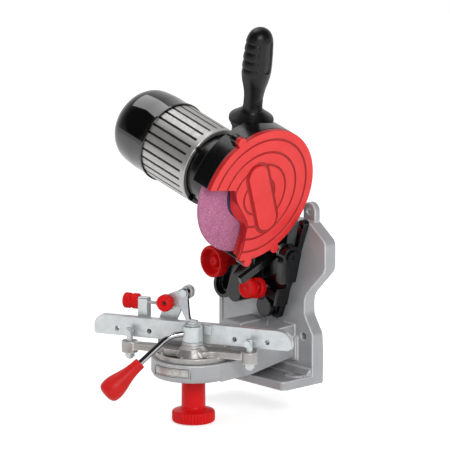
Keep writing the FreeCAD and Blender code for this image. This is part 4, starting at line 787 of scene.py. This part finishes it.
@dataclass
class HandWheels:
    """The six red knobs."""

    bench: Bench
    tilt_at: Triple = (-51.32, -34.0, 125.612)
    depth_at: Triple = (-8.0, -26.5, 21.3)
    depth_lean: float = math.radians(10)
    nut_start: float = 14.6
    stop_at: Triple = (-85.8, 11.5, 93.0)
    stop_lock_at: Triple = (-33.0, -4.9, 96.7)

    def build(self) -> None:
        """Build each knob."""
        for knob in (self.tilt, self.swivel, self.depth, self.depth_nut, self.stop, self.stop_lock):
            knob().build(self.bench)

    def tilt(self) -> HandWheel:
        """The cupped knob that locks the tilt: thick rim, a boss in its cup and a tapering hub."""
        corners = (
            (5.2, 0), (5.2, 2.0), (4.2, 2.6), (4.2, 4.4, 0.5), (5.2, 5.6), (9, 6.8, 0.8), (9, 11.4, 1.2),
            (0.4, 14.4, 0.8), (0, 15.6, 0.5), (0.2, 16.9, 0.5), (1.2, 17.8, 0.5), (10.8, 17.8, 0.6),
            (12, 16.6, 0.6), (12.3, 12.6, 1.5), (26.9, 8.5, 2), (35.9, 8.5, 0.4), (35.9, 4.03),
            (14, 4.03), (14, 0),
        )
        place = BASE.moved(*self.tilt_at).facing(0, 1, 0)
        return HandWheel("tilt_lock_knob", place, Flutes(36, 0.8, 17.8), corners)

    def swivel(self) -> HandWheel:
        """The knob under the vise: a fluted foot with a rounded shoulder, and a long plain shaft."""
        corners = (
            (-30.4, 0), (-30.4, 15), (-31.6, 17.5, 0.8), (-32, 20.5, 1), (-31.2, 22.8, 0.8),
            (-29.6, 23.5, 0.8), (-21.4, 23.5, 0.9), (-19.6, 22.6, 0.9), (-18.7, 20, 1),
            (-17.6, 15.5, 1.5), (-15.4, 13.1, 1.4), (18.8, 12.9, 0.5), (19.7, 12.3), (19.7, 6.03),
            (-19, 6.03), (-19, 0),
        )
        return HandWheel("swivel_lock_knob", BASE.moved(*VISE_AT), Flutes(40, 0.9, 23.5), corners)

    def depth_place(self, along: float) -> Axes:
        """A place on the depth screw's line, facing the bracket."""
        way = (0, math.cos(self.depth_lean), -math.sin(self.depth_lean))
        at = np.array(self.depth_at) + along * np.array(way)
        return BRACKET.moved(*at).facing(*way)

    def depth(self) -> HandWheel:
        """The depth screw's knob, dished with a low boss."""
        corners = (
            (0.7, 0), (0.7, 1.8), (1.3, 2.6), (1.3, 4), (0.5, 8.2, 0.8), (0, 9.4, 0.4), (0.3, 10.7, 0.4),
            (1.3, 11.5, 0.4), (8.7, 11.5, 0.4), (10, 10.2, 0.5), (10, 4.03), (2, 4.03), (2, 0),
        )
        return HandWheel("depth_knob", self.depth_place(0), Flutes(26, 0.8, 11.5), corners)

    def depth_nut(self) -> HandWheel:
        """The fluted nut that locks the depth screw."""
        corners = (
            (0, 4.06), (0, 5.6), (0.6, 6.2), (0.6, 8.4), (0, 9.2), (0, 10.4, 0.5), (1.2, 11.5, 0.5),
            (6.8, 11.5, 0.5), (8, 10.4, 0.5), (8, 4.06), (0, 4.06),
        )
        place = self.depth_place(self.nut_start)
        return HandWheel("depth_lock_nut", place, Flutes(26, 0.8, 11.5), corners)

    def stop(self) -> HandWheel:
        """The chain stop's double knob, two fluted discs with a waist between them."""
        corners = (
            (0.8, 0), (0.8, 3), (0, 4.4, 0.5), (0, 7.2, 0.6), (1.2, 8.6, 0.5), (7.2, 8.6, 0.5),
            (8.3, 7.6, 0.4), (8.6, 6.9), (9.4, 6.9), (9.7, 7.6, 0.4), (10.8, 8.6, 0.5), (16.8, 8.6, 0.5),
            (18, 7.2, 0.6), (18, 2.03), (4, 2.03), (4, 0),
        )
        place = VISE.moved(*self.stop_at).facing(1, 0, 0)
        return HandWheel("stop_knob", place, Flutes(22, 0.7, 8.6), corners)

    def stop_lock(self) -> HandWheel:
        """The chain stop's lock knob, with an open middle."""
        corners = (
            (2.6, 2.03), (2.6, 3.1), (0.5, 3.3, 0.3), (0.2, 5.2), (0.7, 5.8), (0.7, 7), (0, 7.6, 0.4),
            (0.2, 8.6, 0.3), (1, 9.3, 0.4), (9, 9.3, 0.4), (10, 8.3, 0.5), (10, 2.03), (2.6, 2.03),
        )
        place = VISE.moved(*self.stop_lock_at).facing(0, 1, 0)
        return HandWheel("stop_lock_knob", place, Flutes(24, 0.7, 9.3), corners)


@dataclass
class Handle:
    """The pull handle: stepped flange, ribbed neck, and a grip with finger steps and a bare oval."""

    bench: Bench
    at: Triple = (-28.0, 11.8, 64.0)
    lean: float = math.radians(6)
    steps: int = 4
    step_low: float = 60.6
    step_tall: float = 9.9
    step_depth: float = 2.0
    step_curve: float = 2.5
    step_side: float = math.radians(93)
    step_reach: Span = (math.cos(math.radians(60)), math.cos(math.radians(55)))
    oval_middle: float = 84.5
    oval_half: float = 14.2
    oval_wide: float = 5.2
    oval_side: float = 3.2
    oval_depth: float = 1.4
    border_height: float = 0.3
    rib_low: float = 18.8
    rib_pitch: float = 2.6
    rib_height: float = 0.7
    rib_count: int = 5
    rib_side: float = math.radians(8)
    rib_reach: Span = (0.82, 0.95)
    bore_rows: int = 4
    columns: int = 176

    def stations(self) -> np.ndarray:
        """The profile from the stud's bore to the crown: along, half width in y, half width in x."""
        flange = rounded_line((
            (60, 0), (60, 4.03), (0, 4.03), (0, 21.8, 0.4), (3.2, 21.8, 0.3), (3.4, 21), (4.2, 21),
            (4.4, 23.6, 0.3), (5, 24.4, 0.5), (8.6, 24.4, 0.9), (16.5, 13.4),
        ))
        grip = smooth_line((
            (16.5, 13.4, 13.4), (18.4, 11.8, 11.8), (21.5, 10.7, 10.7), (26, 10.4, 10.4),
            (35, 10.9, 10.5), (44, 12.5, 11.7), (53, 15.2, 13.4), (62, 17.0, 14.6), (70, 17.3, 14.8),
            (80, 17.1, 14.7), (91, 16.5, 14.3), (99.5, 15.7, 13.8), (104.5, 14.5, 12.8),
            (108.7, 12.6, 11.2), (111.9, 10, 8.9), (114.1, 6.8, 6.1), (115.2, 3.5, 3.2), (115.5, 0, 0),
        ), 14)
        return np.concatenate((np.column_stack((flange, flange[:, 1])), grip[1:]))

    def build(self) -> None:
        """Lay the surface: an ellipse at each station, less finger steps and oval, plus ribs."""
        line = self.stations()
        turns = np.linspace(0, 2 * math.pi, self.columns, endpoint=False)
        z = np.repeat(line[:, :1], self.columns, axis=1)
        x = line[:, 2:3] * np.cos(turns)
        y = line[:, 1:2] * np.sin(turns)
        outside = (np.arange(len(line)) >= self.bore_rows)[:, None]
        radius = np.maximum(np.hypot(x, y), 1e-6)
        change = outside * (self.ribs(z, turns) - self.fingers(z, turns) - self.oval(x, y, z))
        grown = 1 + change / radius
        points = np.stack((x * grown, y * grown, z), axis=-1)
        place = HEAD.moved(*self.at).facing(0, -math.sin(self.lean), math.cos(self.lean))
        obj = grid_mesh("handle_moulding", place.out(points))
        self.bench.add(obj, Tone.GRIP, "handle_grip")

    def fingers(self, z: np.ndarray, turns: np.ndarray) -> np.ndarray:
        """Depth of the finger steps on the operator's side: each sinks upwards and steps out again."""
        up = (z - self.step_low) / self.step_tall
        share = np.clip(up - np.floor(up), 0, 1)
        inside = (up > 0) * (up < self.steps)
        side = smooth_step(np.cos(turns + self.step_side), *self.step_reach)
        return self.step_depth * inside * side * share**self.step_curve

    def oval(self, x: np.ndarray, y: np.ndarray, z: np.ndarray) -> np.ndarray:
        """Depth of the bare oval on the right side, with a fine raised border round it."""
        past = np.maximum(np.abs(z - self.oval_middle) - self.oval_half, 0)
        away = np.hypot(y - self.oval_side, past)
        floor = 1 - smooth_step(away, self.oval_wide - 0.9, self.oval_wide - 0.3)
        border = smooth_step(away, self.oval_wide - 0.3, self.oval_wide) * (
            1 - smooth_step(away, self.oval_wide + 0.5, self.oval_wide + 1.0)
        )
        return (x > 0) * (self.oval_depth * floor - self.border_height * border)

    def ribs(self, z: np.ndarray, turns: np.ndarray) -> np.ndarray:
        """Height of the small ribs on the neck's right side."""
        up = (z - self.rib_low) / self.rib_pitch
        wave = 0.5 - 0.5 * np.cos(2 * math.pi * up)
        side = smooth_step(np.cos(turns - self.rib_side), *self.rib_reach)
        return self.rib_height * wave * side * (up > 0) * (up < self.rib_count)


@dataclass
class Motor:
    """The motor's finned tube and glossy cap, on the wheel's axis."""

    bench: Bench
    back: float = -127.0
    front: float = -58.0
    tube_r: float = 44.2
    bore_r: float = 40.0
    ring: float = 7.0
    fins: int = 28
    fin_gap: float = 2.6
    fin_depth: float = 2.2
    fin_wall: float = 0.12
    run_out: float = 0.1
    chamfer: float = 0.8

    def build(self) -> None:
        """Lay the tube and turn the cap."""
        self.bench.add(self.tube(), Tone.TUBE, "motor_tube")
        corners = (
            (0, 41.9), (0, 45.6, 0.3), (0.5, 46, 0.3), (3, 46, 0.4), (3.5, 45), (4.1, 44.9),
            (30, 44.9, 10), (55.6, 41.8, 14.5), (67.4, 16, 13), (67.4, 0), (64.4, 0), (64.4, 14.6, 6),
            (53.6, 37.4, 12), (28, 41.9, 8), (0, 41.9),
        )
        place = HEAD.moved(self.back, 0, 0).facing(-1, 0, 0)
        cap = revolved("motor_cap_dome", place, rounded_line(corners, 14), 144)
        self.bench.add(cap, Tone.CAP, "motor_end_cap")

    def tube(self) -> bpy.types.Object:
        """The tube: its radius drops by the fins' depth in each gap, up to the plain front ring.

        Returns:
            The tube, whose "deep" is 1 on the gaps' floors, where the finish paints shade.
        """
        pitch, half = 360 / self.fins, math.degrees(self.fin_gap / 2 / self.tube_r)
        top, foot = half + self.fin_wall, half - self.fin_wall
        across = np.array((-pitch / 2, -pitch / 4, -top, -foot, foot, top, pitch / 4))
        sunk = np.array((0, 0, 0, 1, 1, 0, 0))
        turns = np.radians((np.arange(self.fins)[:, None] * pitch + across).ravel())
        end = self.front - self.ring
        line = np.array((
            (self.back, self.bore_r, 0), (self.back, self.tube_r, 1), (end, self.tube_r, 1),
            (end + self.run_out, self.tube_r, 0), (self.front - self.chamfer, self.tube_r, 0),
            (self.front, self.tube_r - self.chamfer, 0), (self.front, self.bore_r, 0),
            (self.back, self.bore_r, 0),
        ))
        deep = line[:, 2:3] * np.tile(sunk, self.fins)
        radius = line[:, 1:2] - self.fin_depth * deep
        along = np.repeat(line[:, :1], len(turns), axis=1)
        points = np.stack((along, radius * np.cos(turns), radius * np.sin(turns)), axis=-1)
        return grid_mesh("finned_tube", HEAD.out(points), {"deep": deep})


@dataclass
class WheelGroup:
    """The grinding wheel, its outer flange and the red cover in front of them."""

    bench: Bench
    wheel_r: float = 72.5
    bore_r: float = 11.1
    half: float = 2.4
    cover_front: float = 17.0
    # faces this far below the front face, bevels included, take the painted groove shade
    groove_start: float = 0.1
    seat: float = 2.8
    flange_r: float = 23.0
    flange_bore: float = 6.03
    flange_thick: float = 4.2
    flange_chamfer: float = 0.8
    skirt_levels: Triple = (15.4, 9.0, 3.4)
    skirt_bulge: float = 0.6
    skirt_wall: Span = (1.6, 0.8)
    front_edge: Corners = (
        (-38.6, 12.7), (-34.6, 9.2), (-31, 0), (-24.6, -10.8), (-16.4, -21.4), (-10.2, -32), (-8.2, -45),
        (-9.4, -64), (-11, -73),
    )
    back_edge: Corners = (
        (-39.4, 12.9), (-34.2, 10), (-29.6, -4), (-26, -17), (-17.2, -28.6), (-7.4, -37), (-5.2, -47),
        (-7.2, -64), (-9, -73),
    )

    def build(self) -> None:
        """Turn the wheel and its flange, ease the cover and lay its skirt."""
        half, rim = self.half, self.wheel_r
        disc = (
            (-half, self.bore_r), (-half, rim - 1.4), (-half + 0.9, rim, 0.8), (half - 0.9, rim, 0.8),
            (half, rim - 1.4), (half, self.bore_r), (-half, self.bore_r),
        )
        wheel = revolved("abrasive_disc", HEAD.facing(1, 0, 0), rounded_line(disc, 4), 192)
        self.bench.add(wheel, Tone.WHEEL, "grinding_wheel")
        face, edge = self.seat + self.flange_thick, self.flange_r - self.flange_chamfer
        plate = (
            (self.seat, self.flange_bore), (self.seat, self.flange_r),
            (face - self.flange_chamfer, self.flange_r, 0.4), (face, edge), (face, self.flange_bore),
            (self.seat, self.flange_bore),
        )
        flange = revolved("flange_disc", HEAD.facing(1, 0, 0), rounded_line(plate, 4))
        self.bench.add(flange, Tone.STEEL, "outer_flange")
        cover = self.bench.softened("wheel_cover", 0.6, self.below_face)
        self.bench.add(cover, Tone.COVER, "wheel_cover")
        self.bench.add(self.skirt(), Tone.COVER, "wheel_cover")

    def skirt(self) -> bpy.types.Object:
        """The cover's edge over the wheel: a strip from the face's cut to a curve round the flange."""
        front = smooth_line(self.front_edge, 10)
        back = smooth_line(self.back_edge, 10)
        middle = (1 - self.skirt_bulge) * front + self.skirt_bulge * back
        near, between, far = self.skirt_levels
        wall = np.array(self.skirt_wall)
        levels = ((near, front), (between, middle), (far, back), (far, back + wall), (near, front + wall))
        rings = [np.column_stack((np.full(len(edge), x), edge)) for x, edge in levels]
        return grid_mesh("cover_skirt", HEAD.out(np.stack(rings, axis=1)))

    def below_face(self, centres: np.ndarray) -> np.ndarray:
        """Which face centres lie in the face's rings or behind it; these take the cover's painted shade.
        """
        return HEAD.inward(centres)[:, 0] < self.cover_front - self.groove_start


@dataclass
class Vise:
    """The swivel scale and the clamp lever's grip."""

    bench: Bench
    seat_r: float = 46.0
    scale_middle: float = 31.5
    scale_half: float = 4.5
    scale_thick: float = 1.0
    scale_start: float = -105.0
    scale_sweep: float = 58.0
    scale_ease: float = 0.25
    scale_columns: int = 72
    grip_at: Triple = (-57.36, 0, 40.48)
    grip_way: Triple = (-0.748, 0, -0.6637)

    def build(self) -> None:
        """Bend the scale and turn the grip."""
        self.bench.add(self.scale(), Tone.FOIL, "swivel_scale")
        self.bench.add(self.grip(), Tone.LEVER, "lever_grip")

    def scale(self) -> bpy.types.Object:
        """The curved scale: a flat section carried round the seat.

        Returns:
            The scale, with each point's share of its length as "along" and of its height as "up".
        """
        count, ease = self.scale_columns, self.scale_ease
        share = np.linspace(0, 1, count)
        turn = np.radians(self.scale_start + self.scale_sweep * share)[:, None]
        outer, inner = self.seat_r, self.seat_r - self.scale_thick
        brim = 1 - ease / self.scale_half
        section = np.array((
            (outer - ease, -1.0), (outer, -brim), (outer, 0), (outer, brim), (outer - ease, 1.0),
            (inner, 1.0), (inner, -1.0),
        ))
        radius, up = section[:, 0], section[:, 1]
        high = np.repeat((self.scale_middle + self.scale_half * up)[None], count, axis=0)
        rings = np.stack((radius * np.cos(turn), VISE_AT[1] + radius * np.sin(turn), high), axis=-1)
        ends = [np.repeat(rings[i].mean(axis=0)[None, None], len(section), axis=1) for i in (0, -1)]
        points = np.concatenate((ends[0], rings, ends[1]))
        along = np.repeat(np.concatenate(((0,), share, (1,)))[:, None], len(section), axis=1)
        level = np.repeat(((up + 1) / 2)[None], count + 2, axis=0)
        return grid_mesh("scale_band", BASE.out(points), {"along": along, "up": level}, 30)

    def grip(self) -> bpy.types.Object:
        """The lever's red grip: a slim neck that swells to a round end with a small dimple."""
        start = np.array(((14.03, 0), (14.03, 3.28), (0, 3.28), (0, 5.6), (0.5, 6.3)))
        swell = smooth_line((
            (1.2, 6.5), (8, 6.8), (16, 7.7), (24, 9.5), (31, 11.4), (37.5, 12.7), (43, 12.8),
            (47.5, 11.9), (50.1, 9.7), (51.5, 6.4), (52, 2.6),
        ), 10)
        dimple = np.array(((51.5, 2.1), (50.7, 1.9), (50.5, 0)))
        place = LEVER.moved(*self.grip_at).facing(*self.grip_way)
        return revolved("lever_grip_turned", place, np.concatenate((start, swell, dimple)))


@dataclass
class Dressing:
    """How each solid that keeps its shape is finished."""

    bench: Bench

    EASED = {
        "base_casting": (1.3, Tone.BASE),
        "tilt_bracket": (0.8, Tone.BLACK),
        "head_casting": (0.8, Tone.BLACK),
        "vise_carrier": (0.9, Tone.CARRIER),
        "rear_rail": (0.4, Tone.ZINC),
        "front_rail": (0.4, Tone.ZINC),
        "stop_bracket": (0.5, Tone.ZINC),
        "pawl_carriage": (0.3, Tone.ZINC),
        "pawl": (0.6, Tone.CHROME),
        "cam_collar": (0.5, Tone.ZINC),
        "cam_bolt": (0.4, Tone.ZINC),
        "depth_tongue": (0.3, Tone.OXIDE),
        "stud_nuts": (0.3, Tone.ZINC),
        "rail_studs": (0.4, Tone.ZINC),
        "hinge_pin": (0.4, Tone.OXIDE),
        "switch_frame": (0.3, Tone.SWITCH),
        "switch_rocker": (0.3, Tone.SWITCH),
        "cable_gland": (0.4, Tone.SWITCH),
        "wheel_nut": (0.4, Tone.STEEL),
    }
    PLAIN = {
        Tone.ZINC: (
            "tilt_pivot_bolt", "tilt_lock_stud", "swivel_stud", "depth_screw", "handle_stud", "rail_pins",
            "stop_rod", "pawl_pin",
        ),
        Tone.OXIDE: ("hinge_clip", "cover_screws", "motor_screws", "stop_lock_screw"),
        Tone.STEEL: ("front_bearing", "rear_bearing", "motor_shaft", "inner_flange"),
        Tone.CORE: ("stator", "rotor"),
        Tone.SPRING: ("return_spring",),
        Tone.SWITCH: ("run_capacitor",),
        Tone.PAPER: ("wheel_blotters",),
        Tone.CHROME: ("lever_rod",),
    }

    def build(self) -> None:
        """Ease and dress the shown solids, and dress the rest as they are."""
        for node, (width, tone) in self.EASED.items():
            self.bench.add(self.bench.softened(node, width), tone, node)
        for tone, nodes in self.PLAIN.items():
            for node in nodes:
                self.bench.dress(self.bench.frame["nodes"][node], tone)


@dataclass(frozen=True)
class Lamp:
    """A square soft lamp: place and side in metres, watts, and whether glossy pieces mirror it."""

    name: str
    at: Triple
    side: float
    watts: float
    mirrored: bool

    def hang(self, target: Vector) -> None:
        """Put the lamp in the scene, aimed at a point."""
        data = bpy.data.lights.new(self.name, "AREA")
        data.size = self.side
        data.energy = self.watts
        lamp = linked(self.name, data)
        lamp.location = self.at
        lamp.visible_glossy = self.mirrored
        lamp.rotation_euler = (target - Vector(self.at)).to_track_quat("-Z", "Y").to_euler()


@dataclass
class Studio:
    """The floor, the lamps and the camera, at the photograph's angle."""

    around: float = math.radians(47.8)
    above: float = math.radians(12.6)
    away: float = 7.0
    seen_width: float = 0.488
    target: Triple = (0, -0.0588, 0.1791)
    sensor: float = 36.0
    floor_half: float = 30.0
    floor_gap: float = 0.0005
    floor_tone: Colour = (0.86, 0.86, 0.86)
    floor_glow: float = 0.5
    fill: float = 0.48
    room_from: Span = (-0.7, -0.05)
    room_to: Span = (0.9, 0.03)
    lamps: Sequence[Lamp] = (
        Lamp("key", (2.0, -1.0, 1.3), 1.0, 31, True),
        Lamp("left", (-1.2, -1.8, 1.0), 1.0, 9, False),
        Lamp("right", (1.9, 0.9, 0.7), 1.0, 6, False),
        Lamp("top", (-0.77, 0.0, 1.76), 1.1, 10, True),
    )

    def build(self) -> None:
        """Lay the floor, hang the lamps and set the camera."""
        self._floor()
        self._world()
        for lamp in self.lamps:
            lamp.hang(Vector(self.target))
        self._camera()

    def _front(self) -> Vector:
        """The direction from the machine to the camera."""
        flat = math.cos(self.above)
        return Vector((math.sin(self.around) * flat, -math.cos(self.around) * flat, math.sin(self.above)))

    def _floor(self) -> None:
        """A wide pale floor just under the lowest piece, white to the camera but not as a light."""
        level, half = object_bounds()[0].z - self.floor_gap, self.floor_half
        mesh = bpy.data.meshes.new("floor")
        corners = [(-half, -half, level), (half, -half, level), (half, half, level), (-half, half, level)]
        mesh.from_pydata(corners, [], [(0, 1, 2, 3)])
        floor = linked("floor", mesh)
        kit = Kit("pale_floor")
        kit.set(Base_Color=self.floor_tone, Roughness=0.9, Specular_IOR_Level=0.1)
        seen = kit.path("Is Camera Ray") + kit.path("Is Glossy Ray") + kit.path("Is Transmission Ray")
        strength = seen.clamped() * self.floor_glow
        glow = kit.node("ShaderNodeEmission", {}, {"Color": (1, 1, 1), "Strength": strength})
        both = kit.node("ShaderNodeAddShader", {}, {0: Wire(kit, kit.shader.outputs[0]), 1: glow})
        kit.feed(kit.tree.nodes["Material Output"].inputs["Surface"], both)
        floor.data.materials.append(kit.material)
        floor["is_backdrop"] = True

    def _world(self) -> None:
        """A white surround for the camera, dimmer as a light, with a dimmer room on the camera's side."""
        world = bpy.data.worlds.new("studio")
        bpy.context.scene.world = world
        world.use_nodes = True
        graph = Graph(world.node_tree)
        seen = (graph.path("Is Camera Ray") + graph.path("Is Transmission Ray")).clamped()
        glossy = graph.path("Is Glossy Ray")
        way = graph.node("ShaderNodeTexCoord", {}, {}, "Generated")
        dot = {"operation": "DOT_PRODUCT"}
        front = graph.node("ShaderNodeVectorMath", dot, {0: way, 1: tuple(self._front())}, "Value")
        mirrored = graph.remap(front, self.room_from, self.room_to)
        plain = (1 - seen) * (1 - glossy)
        back = world.node_tree.nodes["Background"]
        graph.feed(back.inputs["Color"], (1.0, 1.0, 1.0))
        graph.feed(back.inputs["Strength"], seen + glossy * mirrored + plain * self.fill)

    def _camera(self) -> None:
        """A long lens aimed at the machine's middle."""
        back = self._front()
        data = bpy.data.cameras.new("camera")
        data.sensor_width = self.sensor
        data.lens = data.sensor_width * self.away / self.seen_width
        camera = linked("camera", data)
        camera.location = Vector(self.target) + back * self.away
        camera.rotation_euler = (-back).to_track_quat("-Z", "Y").to_euler()
        bpy.context.scene.camera = camera


def main() -> None:
    """Dress the machine piece by piece, then set the studio."""
    logging.basicConfig(level=logging.INFO)
    bpy.context.scene.view_settings.view_transform = "Standard"
    bench = Bench(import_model())
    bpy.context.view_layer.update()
    for group in (Dressing, HandWheels, Handle, Motor, WheelGroup, Vise):
        group(bench).build()
    Studio().build()


if __name__ == "__main__":
    main()
